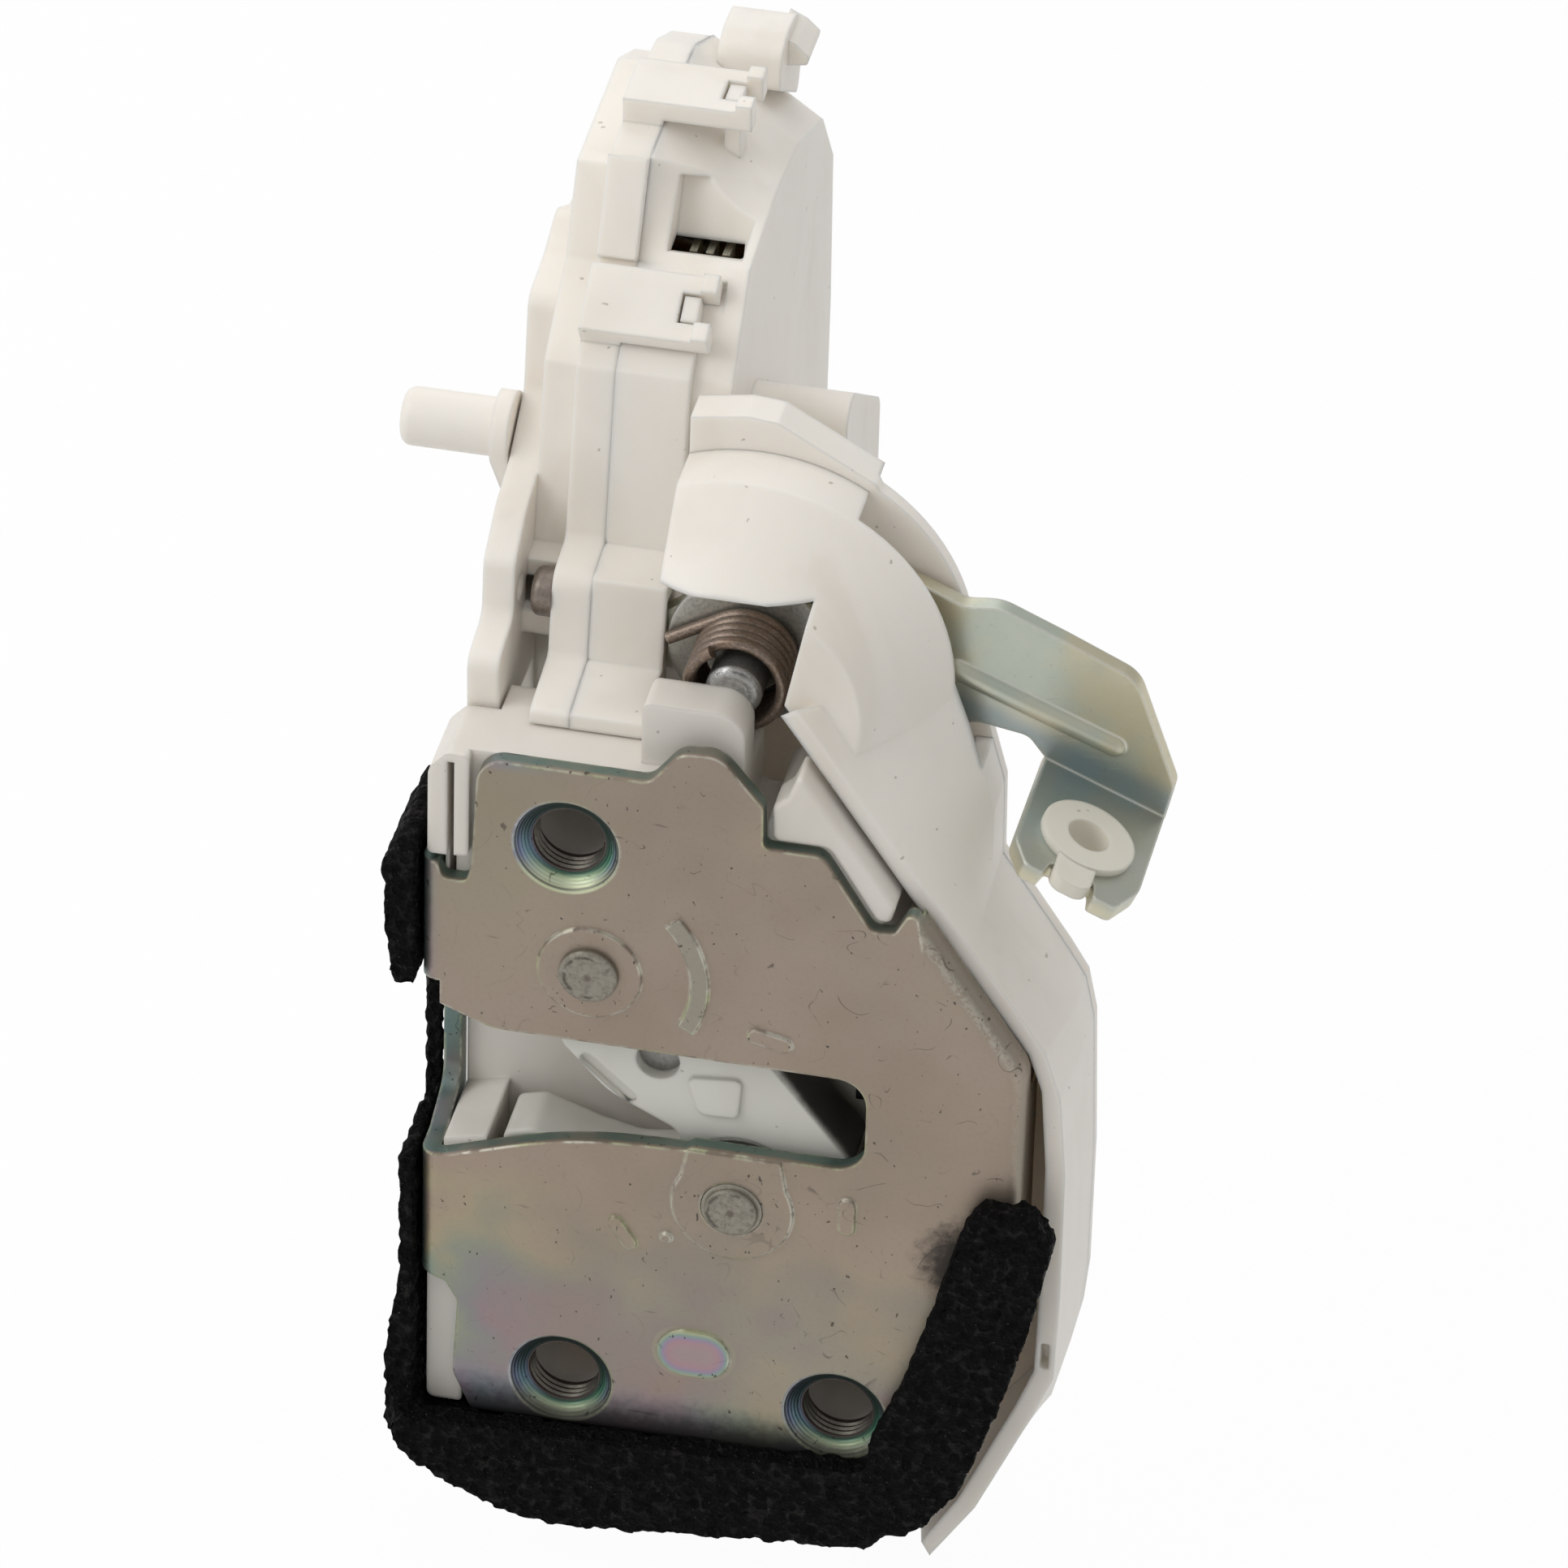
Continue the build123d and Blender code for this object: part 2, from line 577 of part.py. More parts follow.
rim_line = [
    (22.2, 18.2), (25.6, 13.4), (37.0, -3.0), (42.3, -9.9), (47.2, -16.8), (50.6, -21.6),
    (52.2, -26.2), (53.0, -36.5), (53.0, -54.0), (52.8, -64.5), (51.0, -69.5), (45.0, -84.0),
    (41.0, -91.0),
]
front_line = [
    (23.8, 19.2), (27.2, 14.4), (38.6, -1.9), (43.9, -8.8), (48.8, -15.7), (52.4, -21.0),
    (54.3, -27.0), (55.2, -37.2), (55.3, -53.9), (55.0, -65.2), (53.0, -70.6), (46.9, -85.0),
    (42.0, -92.8),
]
back_line = [
    (38.6, 17.6), (40.6, 12.0), (43.6, 1.2), (43.8, -8.3), (51.4, -19.6), (53.6, -23.2),
    (54.7, -28.4), (55.4, -46.0), (55.4, -63.0), (54.9, -68.8), (53.0, -77.0), (48.2, -83.4),
    (40.3, -98.0),
]
hem_line = [(37.6, -97.2), (30.0, -95.4), (12.0, -84.0), (12.0, -79.0)]


def strip(outer, inner):
    """Closed face between two lines of points."""
    return make_face(Polyline(*outer, *reversed(inner), close=True))


def shifted(line, distance):
    """The same line moved inwards, to its left-hand side."""
    moved = []
    for k, (x, z) in enumerate(line):
        x0, z0 = line[max(k - 1, 0)]
        x1, z1 = line[min(k + 1, len(line) - 1)]
        length = math.hypot(x1 - x0, z1 - z0)
        moved.append((x + distance * (z1 - z0) / length, z - distance * (x1 - x0) / length))
    return moved


def on_depth(face, y):
    return Plane.XZ.offset(-y) * face


def make_side_cover():
    cx, cz = lever_axis
    shell = make_face(Polyline(
        (0, drum_front), (14.6, drum_front), (drum_r, drum_edge - 0.9), (drum_r, drum_edge),
        (drum_r - cover_wall, drum_edge), (drum_r - cover_wall, drum_edge - 0.4),
        (13.9, drum_front + cover_wall), (0, drum_front + cover_wall), close=True))
    drum = Pos(cx, 0, cz) * revolve(shell, Axis.Y)
    arc = Pos(cx, cz) * (Circle(drum_r) - Circle(drum_r - cover_wall))
    above = make_face(Polyline((cx, cz), (cx + 24, cz + 40), (8, cz + 40), (8, cz), close=True))
    drum += across(arc & above, drum_edge - 0.1, rear_panel_y)
    open_side = make_face(Polyline(
        (-40, 30.5), (24.6, 30.5), (22.2, 18.2), *rim_line[1:3], (37.0, -40), (-40, -40), close=True))
    drum -= across(open_side, 0, 40)
    drum -= block(-40, cover_left_x, 0, 40, -40, 60)
    # skirt that widens from the rim to the rear
    front = strip(front_line, rim_line)
    back = strip(back_line, shifted(back_line, cover_wall))
    skirt = loft([on_depth(front, 4.0), on_depth(back, 16.0)], ruled=True)
    skirt += across(back & flat([(0, 6.6, 0), (80, 6.6, 0), (80, -130, 0), (0, -130, 0)]), 15.9,
                    rear_panel_y)
    cover = drum + skirt
    # small tab behind the plate's bent edge
    cover += across(flat([(37.0, -6.6, 0.3), (39.2, -6.0, 0.3), (44.2, -11.6, 0.3), (39.6, -10.6, 0.5)]),
                    4.0, 6.0)
    cover -= across(flat([(53.4, -60.5, 0.3), (54.4, -60.5, 0.3), (54.4, -64.0, 0.3), (53.4, -64.0, 0.3)]),
                    3.0, 6.0)
    return cover


def make_rear_cover():
    """Rear panel behind the outside lever, with the upper flange."""
    cx, cz = lever_axis
    inside = [(cover_left_x, 42.4), (14.1, 43.4), (17.5, 43.1), (28.4, 37.0)]
    panel = make_face(Polyline(*inside, *back_line[1:], *hem_line[1:], (cover_left_x, -79.0), close=True))
    disc = Pos(cx, cz) * Circle(drum_rear_r)
    disc -= Pos(cx - 40 + cover_left_x - cx, cz) * Rectangle(80, 80)
    cover = across(panel + disc, rear_panel_y, rear_panel_y + rear_panel_t)
    cover += across(make_face(Polyline(*inside, (24, 34), (cover_left_x, 36), close=True)) - disc,
                    rear_panel_y, rear_panel_y + 4.5)
    cover += across(strip(hem_line, shifted(hem_line, cover_wall)), 16.0, rear_panel_y + 0.1)
    cover -= rod_y(lever_axis, spindle_r + 0.02, 20, 30)
    return cover


# Lock case: two snapped shells

# edge line of the case in Y and Z, clockwise, with the corner radii
ribbon_line = [
    (16.7, 13.1, 1.0), (18.5, 22.2, 2.5), (24.6, 23.1, 1.5), (25.9, 29.4, 4), (28.5, 42.7, 1.2),
    (30.4, 44.3, 1.2), (38.7, 50.2, 4), (44.0, 60.2, 4), (66.0, 61.5, 8), (76.0, 57.0, 6),
    (case_rear - 1.5, 46.0, 10), (case_rear, 20.0, 30), (case_rear - 1.0, -30.0, 10),
    (case_rear - 15.0, -46.0, 10), (25.3, -46.0, 4),
    (25.3, 9.9, 0),
]
# outermost step of the left shell
tier_line = [
    (10.5, 15.4, 2), (17.3, 16.8, 2), (17.8, 23.3, 2), (23.4, 27.0, 3), (29.8, 28.7, 3),
    (36.5, 33.3, 3), (38.0, 44.4, 2), (45.6, 45.4, 3), (51.4, 47.6, 3), (58.2, 44.0, 4),
    (67.4, 44.8, 4), (case_rear - 5.0, 45.6, 4), (case_rear - 2.0, 20.0, 12),
    (case_rear - 3.0, -28.0, 8), (case_rear - 17.0, -43.0, 8),
    (27.4, -43.0, 3), (27.4, 5.1, 1), (10.8, 5.1, 1),
]


def bare(line):
    return [(y, z) for y, z, r in line]


def ribbon_profile():
    """Edge face of the case with its tongue over the latch body."""
    tongue = [(8.0, 9.9, 0), (8.0, 11.6, 0.8)]
    return flat(tongue + ribbon_line)


def case_room(line, x0, x1, wall):
    """Hollow inside one step of a shell."""
    return sideways(inset(bare(line), wall), x0, x1)


def wheel_boss(x0, x1):
    return rod_x(wheel_axis, 5.2, x0, x1)


def clip_frame(place):
    """Local frame on the case edge: x across, y along the edge, z outwards."""
    y, z, deg = place
    return Pos(0, y, z) * Rot(deg, 0, 0)


def make_case_left():
    ribbon = ribbon_profile()
    step_line = ribbon_line[1:] + [(18.5, 9.9, 0)]
    floor_x = case_left_x + case_wall
    shell = sideways(ribbon, rim_left_x, split_x)
    shell += case_room(step_line, tier_x, rim_left_x, tier_inset)
    shell += sideways(flat(tier_line), case_left_x, tier_x)
    # the rooms behind the three steps, each narrower than the step outside it
    middle_wall = tier_inset + case_wall
    outer_room = case_room(tier_line, floor_x, tier_x + case_wall, case_wall)
    shell -= outer_room & case_room(step_line, floor_x - 1.0, rim_left_x, middle_wall)
    shell -= case_room(step_line, tier_x + case_wall - 0.1, rim_left_x + case_wall + 0.1, middle_wall)
    shell -= case_room(ribbon_line, rim_left_x + case_wall, split_x + 1, case_wall)
    shell += wheel_boss(case_left_x + 1.0, rim_left_x - 0.3)
    # saddle ribs that carry the motor
    for y in (62.0, 72.0):
        shell += block(case_left_x + 1.0, split_x, y, y + 2.0, motor_z - 16.0, motor_z - 9.6)
    # strengthening ribs on the stepped side
    for y, z0, z1 in ((30.0, -36.0, 4.0), (50.0, -36.0, -4.0), (68.0, -34.0, 8.0)):
        shell += block(case_left_x - 0.9, case_left_x + 0.5, y, y + 1.4, z0, z1)
    shell += rod_x(case_screw_points[0], 3.3, rim_left_x, split_x) & sideways(ribbon, rim_left_x, split_x)
    for point in case_screw_points[1:]:
        shell += rod_x(point, 4.9, rim_left_x - 0.1, split_x)
    # pocket for the front screw
    shell -= block(-10.0, rim_left_x, 9.0, 23.6, 15.4, 22.4)
    for point in case_screw_points[1:]:
        shell -= rod_x(point, 3.5, case_left_x - 2, rim_left_x)
        shell += (rod_x(point, 4.9, case_left_x, rim_left_x) - rod_x(point, 3.5, -20, 0))
    for place in clip_places:
        at = clip_frame(place)
        strap = at * Pos((rim_left_x + 8.2) / 2, 0, 0.9) * Box(8.2 - rim_left_x, strap_width, 2.6)
        foot = at * Pos((rim_left_x + split_x) / 2, 0, -0.6) * Box(split_x - rim_left_x, strap_width, 2.2)
        strap -= at * Pos(6.6, 0, 0.9) * Box(4.4, prong_gap, 4.0)
        strap -= at * Pos((split_x + 8.2) / 2 + 0.2, 0, -1.2) * Box(8.6 - split_x, strap_width + 1, 2.2)
        for side in (-1, 1):
            strap += at * Pos(7.3, side * (strap_width + prong_gap) / 4, 2.4) * Box(1.8, 2.2, 1.2)
        shell += strap + foot
    # raised pad beside the wiring window
    shell += clip_frame(window_slope) * Pos((rim_left_x + split_x) / 2, 0, 0.3) * Box(
        split_x - rim_left_x, 11.0, 1.8)
    for point in case_screw_points:
        shell -= rod_x(point, 1.5, -20, 5)
    shell -= rod_x(wheel_axis, 3.0 + pin_clearance, case_left_x - 1, -10.1)
    shell -= rod_x(wheel_axis, 3.0 + pin_clearance, -9.3, 0)
    return shell


def make_case_right():
    low = bare(ribbon_line[3:])
    high = [(28.5, 30.0), (28.8, 39.6), (29.5, 41.6), (37.5, 52.0), (52.0, 53.7), (62.0, 53.0),
            (76.0, 48.0), (case_rear - 2.4, 39.5), (case_rear - 1.2, 20.0), (case_rear - 2.4, -29.0),
            (case_rear - 16.0, -44.4), (26.0, -44.4),
            (26.0, 10.0)]
    lobe = [(8.0, 9.85), (8.0, 11.6), (16.7, 13.1), (18.5, 22.25), (24.55, 23.15), (25.8, 29.45),
            (28.4, 42.8), (30.35, 44.4), (38.6, 50.35), (42.0, 50.6), (42.0, 9.85)]
    shell = loft([Plane.YZ.offset(split_x) * make_face(Polyline(*low, close=True)),
                  Plane.YZ.offset(case_right_x) * make_face(Polyline(*high, close=True))], ruled=True)
    shell += sideways(make_face(Polyline(*lobe, close=True)), split_x, rim_right_x)
    shell -= sideways(inset(lobe[2:], case_wall), split_x - 1, rim_right_x - case_wall)
    shell -= sideways(inset(high, case_wall), split_x - 1, case_right_x - case_wall)
    ribbon = ribbon_profile()
    shell += wheel_boss(0.3, case_right_x - 1.0)
    # doorway for the outside lever's inner arm
    shell -= block(-5.0, 8.0, 18.9, 21.9, 9.0, 20.4)
    # wiring window in the slope and the shelf under its terminal block
    at = clip_frame(window_slope)
    shell -= at * Pos(5.6, 0, 0) * Box(8.4, 8.2, 9.0)
    shell += block(1.0, case_right_x - 1.0, 39.0, 49.0, 42.2, 43.8)
    # hood for the cable plug on the outer side
    hood = sideways(flat([(38.0, 37.8, 3), (57.0, 25.2, 3), (57.0, 6.0, 3), (38.0, 12.0, 3)]),
                    case_right_x - 1.0, 22.0)
    hood -= sideways(flat([(40.0, 34.4, 2), (55.0, 24.0, 2), (55.0, 8.6, 2), (40.0, 13.6, 2)]),
                     case_right_x - 2.5, 20.2)
    hood -= block(12.6, 20.2, 42.0, 53.0, 0.0, 14.0)
    shell += hood
    for point in case_screw_points[1:]:
        shell += rod_x(point, 3.3, split_x, case_right_x - 1.0)
    shell += rod_x(case_screw_points[0], 2.9, split_x, screw_tip_x + 0.2) & sideways(ribbon, split_x, 6)
    for place in clip_places:
        at = clip_frame(place)
        shell -= at * Pos((split_x + 8.4) / 2, 0, 1.3) * Box(8.4 - split_x + 0.6, 8.6, 2.94)
        shell += at * Pos(5.6, 0, -2.2) * Box(1.8, prong_gap - 2 * gap, 8.4)
    # hooked tip at the rear top corner
    tip = sideways(flat([(66.0, 57.0, 1), (67.0, 61.0, 2.0), (70.0, 62.2, 2.5), (75.5, 61.8, 3),
                         (78.5, 56.0, 2), (76.0, 51.0, 1)]), 0.8, 8.0)
    hook = flat([(7.0, 61.6, 0), (8.9, 60.7, 0.5), (10.4, 59.3, 0.4), (10.2, 58.3, 0.4), (7.0, 57.8, 0)])
    tip += across(hook, 70.0, 76.0)
    shell += tip
    for point in case_screw_points:
        shell -= rod_x(point, 1.25, split_x - 1, screw_tip_x)
    shell -= rod_x(wheel_axis, 3.0 + pin_clearance, -1, 3.6)
    return shell


def make_case_screws():
    screws = []
    for point in case_screw_points:
        screw = rod_x(point, 2.75, rim_left_x - 2.4, rim_left_x)
        head = screw.edges().filter_by(GeomType.CIRCLE).sort_by(Axis.X)[0]
        screw = fillet(head, 0.9)
        screw += rod_x(point, 1.25, rim_left_x - 0.1, screw_tip_x)
        screw -= block(rim_left_x - 3, rim_left_x - 1.4, point[0] - 0.4, point[0] + 0.4,
                       point[1] - 1.6, point[1] + 1.6)
        screw -= block(rim_left_x - 3, rim_left_x - 1.4, point[0] - 1.6, point[0] + 1.6,
                       point[1] - 0.4, point[1] + 0.4)
        screws.append(screw)
    return Compound(children=screws)


# Lock drive

def make_lock_motor():
    can = Pos(motor_x, motor_z) * (Circle(9.6) & Rectangle(15.0, 19.2))
    motor = across(can, motor_y, motor_y + motor_length)
    motor = fillet(motor.edges().filter_by_position(Axis.Y, motor_y - 0.01, motor_y + 0.01), 0.8)
    axis = (motor_x, motor_z)
    motor += rod_y(axis, 3.0, motor_y - 1.2, motor_y + 0.5)
    motor += rod_y(axis, 3.0, motor_y + motor_length - 0.5, motor_y + motor_length + 1.2)
    motor -= rod_y(axis, 1.0 + pin_clearance, motor_y - 3, motor_y + 9.0)
    return motor


def make_worm():
    axis = (motor_x, motor_z)
    worm = rod_y(axis, 2.6, 40.0, 52.0) + rod_y(axis, 1.0, 38.4, motor_y + 8.0)
    for k in range(4):
        y = 40.6 + worm_pitch * k
        profile = Polyline((2.4, y), (worm_r, y + 0.6), (worm_r, y + 1.2), (2.4, y + 1.8), close=True)
        ring = revolve(make_face(profile), Axis.Y)
        worm += Pos(axis[0], 0, axis[1]) * ring
    return worm


def make_worm_wheel():
    root_r = wheel_r - 1.3
    face = Circle(root_r)
    tooth = make_face(Polyline((root_r - 0.4, -1.15), (wheel_r - 0.15, -0.6), (wheel_r - 0.15, 0.6),
                               (root_r - 0.4, 1.15), close=True))
    for k in range(wheel_teeth):
        face += Rot(0, 0, 360.0 * k / wheel_teeth) * tooth
    cy, cz = wheel_axis
    wheel = sideways(Pos(cy, cz) * face, -5.9, 0.0)
    web = sideways(Pos(cy, cz) * (Circle(root_r - 2.2) - Circle(5.0)), -5.9, -4.2)
    web += sideways(Pos(cy, cz) * (Circle(root_r - 2.2) - Circle(5.0)), -1.7, 0.0)
    wheel -= web
    wheel += rod_x(wheel_axis, 3.0, -9.0, 3.4)
    return wheel


def make_lock_lever():
    cy, cz = wheel_axis
    py, pz = peg_centre
    x1 = case_left_x - 0.3
    x0 = x1 - lock_arm_t
    length = math.hypot(py - cy, pz - cz)
    lean = math.degrees(math.atan2(pz - cz, py - cy))
    tip_r = peg_r + 1.0
    arm = Pos(cy, cz) * Circle(7.0) + Pos(py, pz) * Circle(tip_r)
    bar = Pos((cy + py) / 2, (cz + pz) / 2) * Rot(0, 0, lean) * Rectangle(length, 2 * tip_r)
    lever = sideways(arm + bar, x0, x1)
    lever += rod_x(wheel_axis, 3.0, x1 - 0.1, -10.3)
    peg = rod_x(peg_centre, peg_r, x0 - peg_length, x0 + 0.1)
    end = peg.edges().filter_by(GeomType.CIRCLE).sort_by(Axis.X)[0]
    return lever + fillet(end, 1.2)


def make_terminal_block():
    terminal_base = block(2.2, 8.6, 41.0, 47.4, 43.8, 46.6)
    for x in terminal_rows:
        terminal_base -= block(x, x + 0.8, 42.6, 45.8, 44.4, 48.0)
    return terminal_base


def make_connector_terminals():
    blades = [block(x, x + 0.8, 42.6, 45.8, 44.4, 50.0) for x in terminal_rows]
    return Compound(children=blades)


# Foam seal

def make_foam_seal():
    right = flat([
        (46.6, -38.4, 1.5), (45.2, -41.0, 2), (41.7, -54.5, 8), (38.8, -64.7, 8), (35.7, -72.5, 2),
        (35.4, -77.0, 1), (36.8, -87.6, 3), (42.0, -83.8, 4), (46.3, -77.8, 8), (50.0, -66.6, 8),
        (53.4, -53.5, 8), (55.6, -41.4, 2), (52.3, -37.8, 2),
    ])
    bottom = flat([
        (-16.2, -78.4, 0.5), (17.6, -77.4, 30), (36.0, -76.6, 0.5), (38.6, -84.0, 2), (36.8, -87.6, 3),
        (16.0, -89.4, 30), (2.0, -91.2, 30), (-6.0, -90.2, 20), (-16.9, -84.6, 5), (-19.2, -80.0, 3),
        (-17.6, -77.6, 1),
    ])
    side = flat([
        (-16.2, -1.0, 0.6), (-18.2, -0.6, 0.8), (-20.4, -5.0, 2), (-19.6, -17.0, 4), (-18.6, -23.0, 4),
        (-18.2, -60.0, 10), (-19.8, -70.0, 10), (-19.8, -82.0, 3), (-16.2, -86.0, 1),
    ])
    seal = across(right, -foam_proud, 0) + across(bottom, -foam_proud, 0)
    below = bottom - (Pos(15, -40) * Rectangle(100, 2 * (-plate_bottom - 40 + 0.15)))
    seal += across(below, -0.1, 5.2)
    seal += across(side, -1.2, left_flange_depth)
    # the strip passes behind the striker mouth
    seal -= block(-25, -16, -2, left_flange_depth - 2.4, mouth_bottom + 0.3, -20.4)
    return seal


def build():
    core = make_catch_core()
    return {
        "base_plate": make_base_plate(),
        "catch_rivet": make_pivot_rivet(catch_pivot, catch_pin_r, 3.0),
        "pawl_rivet": make_pivot_rivet(pawl_pivot, pawl_pin_r, 3.3),
        "latch_body": make_latch_body(),
        "striker_bumper": make_striker_bumper(),
        "back_plate": make_back_plate(),
        "catch_core": core,
        "catch_cover": make_catch_cover(core),
        "catch_spring": make_catch_spring(),
        "pawl": make_pawl(),
        "pawl_spring": make_pawl_spring(),
        "release_link": make_release_link(),
        "handle_spindle": make_handle_spindle(),
        "spindle_washer": make_spindle_washer(),
        "handle_spring": make_handle_spring(),
        "outside_lever": make_outside_lever(),
        "rod_clip": make_rod_clip(),
        "side_cover": make_side_cover(),
        "rear_cover": make_rear_cover(),
        "case_left": make_case_left(),
        "case_right": make_case_right(),
        "case_screws": make_case_screws(),
        "lock_motor": make_lock_motor(),
        "worm": make_worm(),
        "worm_wheel": make_worm_wheel(),
        "lock_lever": make_lock_lever(),
        "terminal_block": make_terminal_block(),
        "connector_terminals": make_connector_terminals(),
        "foam_seal": make_foam_seal(),
    }


os.makedirs("parts", exist_ok=True)
for name, solid in build().items():
    export_step(solid, f"parts/{name}.step")
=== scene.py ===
import math

import bmesh
import bpy
from mathutils import Matrix, Vector, noise


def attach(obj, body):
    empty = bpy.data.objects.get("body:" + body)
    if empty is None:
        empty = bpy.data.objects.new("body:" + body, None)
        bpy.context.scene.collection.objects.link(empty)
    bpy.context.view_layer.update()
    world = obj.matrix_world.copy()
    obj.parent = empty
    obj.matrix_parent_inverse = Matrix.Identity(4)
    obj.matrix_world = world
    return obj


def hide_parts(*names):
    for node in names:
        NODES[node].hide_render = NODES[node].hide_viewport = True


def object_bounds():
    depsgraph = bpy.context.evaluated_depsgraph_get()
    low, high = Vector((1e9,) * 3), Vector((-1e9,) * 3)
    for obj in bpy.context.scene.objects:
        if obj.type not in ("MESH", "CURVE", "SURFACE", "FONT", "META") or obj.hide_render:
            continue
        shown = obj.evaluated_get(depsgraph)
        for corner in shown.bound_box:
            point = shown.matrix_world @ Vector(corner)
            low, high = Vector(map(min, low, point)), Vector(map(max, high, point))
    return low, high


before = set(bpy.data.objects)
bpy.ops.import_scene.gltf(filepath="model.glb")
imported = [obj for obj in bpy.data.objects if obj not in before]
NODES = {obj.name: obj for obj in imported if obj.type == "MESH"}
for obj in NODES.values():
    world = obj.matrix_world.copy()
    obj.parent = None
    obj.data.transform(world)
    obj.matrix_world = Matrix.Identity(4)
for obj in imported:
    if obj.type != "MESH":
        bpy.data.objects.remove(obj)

bl_info = {
    "name": "Door latch actuator",
    "version": (1, 0, 0),
    "blender": (4, 5, 0),
    "location": "3D View > Sidebar > Latch",
    "description": "Finishes the door latch actuator: plate, latch, lever, shells and seal",
    "category": "Object",
}

MM = 0.001
CAD_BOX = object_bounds()

# Places as (x, z) and sizes on the part, in millimetres
FIXINGS = ((0.0, 0.0), (0.3, -72.3), (31.4, -71.8))
CATCH_PIVOT = (19.2, -45.0)
PAWL_PIVOT = (2.8, -16.0)
LEVER_AXIS = (15.9, 16.5)
FOAM_TOP = (45.8, -48.2)
BOSS = (15.3, -66.0)
BOSS_HALF = 1.2
BOSS_R = 3.4
RIM_R = 6.0
THREAD_R = 4.0
THREAD_TOOTH = 0.24
THREAD_TURNS = 3
THREAD_Y = 1.95
POCKET_R = 5.55
POCKET_DEPTH = 9.9
POCKET_BACK = 14.9
POCKET_WALL = 0.6
POCKET_FLOOR = 0.8
POCKET_EDGE = 0.4

# Meshing: steps in a turn, sides of a cup, and how near and how flat a CAD copy is joined
THREAD_STEPS = 40
COIL_STEPS = 36
POCKET_SIDES = 64
MERGE_GAP = 0.002
FLAT_DEGREES = 0.4

# Foam: spacing of pores and lumps in millimetres, reach of a pore as a share of the spacing,
# and how much the skin, the pores and the lumps take of the pore depth
PORE_SPACING = 1.5
LUMP_SPACING = 3.0
PORE_REACH = 0.62
SKIN_SHARE = 0.15
PORE_SHARE = 1.6
LUMP_SHARE = 0.35

# Name, node, axis, coil radius, wire radius, front, back, turns and the run of the leg
COILS = (
    ("handle_coil", "handle_spring", LEVER_AXIS, 5.05, 0.7, 9.5, 17.7, 5, (-6.2, -3.7)),
    ("catch_coil", "catch_spring", CATCH_PIVOT, 6.6, 0.6, 10.85, 12.9, 1, (-12.5, 0.0)),
    ("pawl_coil", "pawl_spring", PAWL_PIVOT, 4.3, 0.5, 9.2, 12.9, 3, (12.0, 0.0)),
)

# Stage: the picture's middle, right of and above the upper hole, then the floor and the lamps
PICTURE_RIGHT = 23.36
PICTURE_UP = 6.83
SENSOR_WIDTH = 36.0
FLOOR_SIZE = 6.0
FLOOR_GAP = 0.4
FLOOR_WHITE = 0.96
WORLD_LEVEL = 0.52
LAMP_REACH = 0.9
# Name, direction from the part, size and strength
LAMPS = (
    ("key", (-0.85, -0.5, 0.85), 0.6, 2.8),
    ("fill", (0.9, -0.6, 0.5), 0.7, 0.25),
    ("top", (0.1, 0.3, 1.0), 0.7, 1.5),
    ("behind", (-0.4, 1.0, 0.6), 0.6, 1.0),
)

# Colours of the films, the wear and the dirt, and of painted shade, highlights and reflections
FILM_STOPS = (
    (0.0, (0.46, 0.42, 0.24)), (0.22, (0.40, 0.29, 0.24)), (0.4, (0.31, 0.22, 0.34)),
    (0.58, (0.19, 0.26, 0.34)), (0.78, (0.22, 0.36, 0.28)), (1.0, (0.46, 0.42, 0.24)))
COLLAR_STOPS = (
    (0.0, (0.05, 0.075, 0.06)), (0.16, (0.05, 0.17, 0.11)), (0.36, (0.12, 0.29, 0.21)),
    (0.6, (0.21, 0.31, 0.35)), (0.8, (0.08, 0.07, 0.10)), (0.88, (0.34, 0.42, 0.36)),
    (1.0, (0.30, 0.27, 0.22)))
BOSS_STOPS = (
    (0.0, (0.37, 0.29, 0.29)), (0.5, (0.42, 0.26, 0.30)), (0.72, (0.32, 0.26, 0.38)),
    (0.86, (0.24, 0.36, 0.32)), (1.0, (0.50, 0.50, 0.28)))
# Painted reflection, shade and highlight on the collars' cones
COLLAR_VIOLET_REFLECTION = (0.22, 0.25, 0.44)
COLLAR_SHADE = (0.03, 0.045, 0.04)
COLLAR_HIGHLIGHT = (0.66, 0.70, 0.46)
GROOVE = (0.05, 0.045, 0.05)
# Painted shade in the bores, with a reddish tint
BORE_SHADE = (0.13, 0.09, 0.085)
OLIVE = (0.30, 0.275, 0.19)
# Painted highlight along the plate's right bend, broken like wear
WORN_HIGHLIGHT = (0.50, 0.48, 0.41)
SHEARED = (0.10, 0.19, 0.17)
PAD_GREEN = (0.29, 0.31, 0.25)
GLINT = (0.86, 0.85, 0.74)
GLINT_GREEN = (0.58, 0.64, 0.36)
# Edge dirt, and painted shade on the plate's rounded edges
EDGE_DIRT_AND_SHADE = (0.07, 0.06, 0.05)
SPECK = (0.035, 0.03, 0.026)
HAIR = (0.05, 0.04, 0.034)
# Foam smear at the top corner, and painted shade of the foam's reflection on the lower bend
FOAM_SMEAR_AND_SHADE = (0.018, 0.017, 0.017)
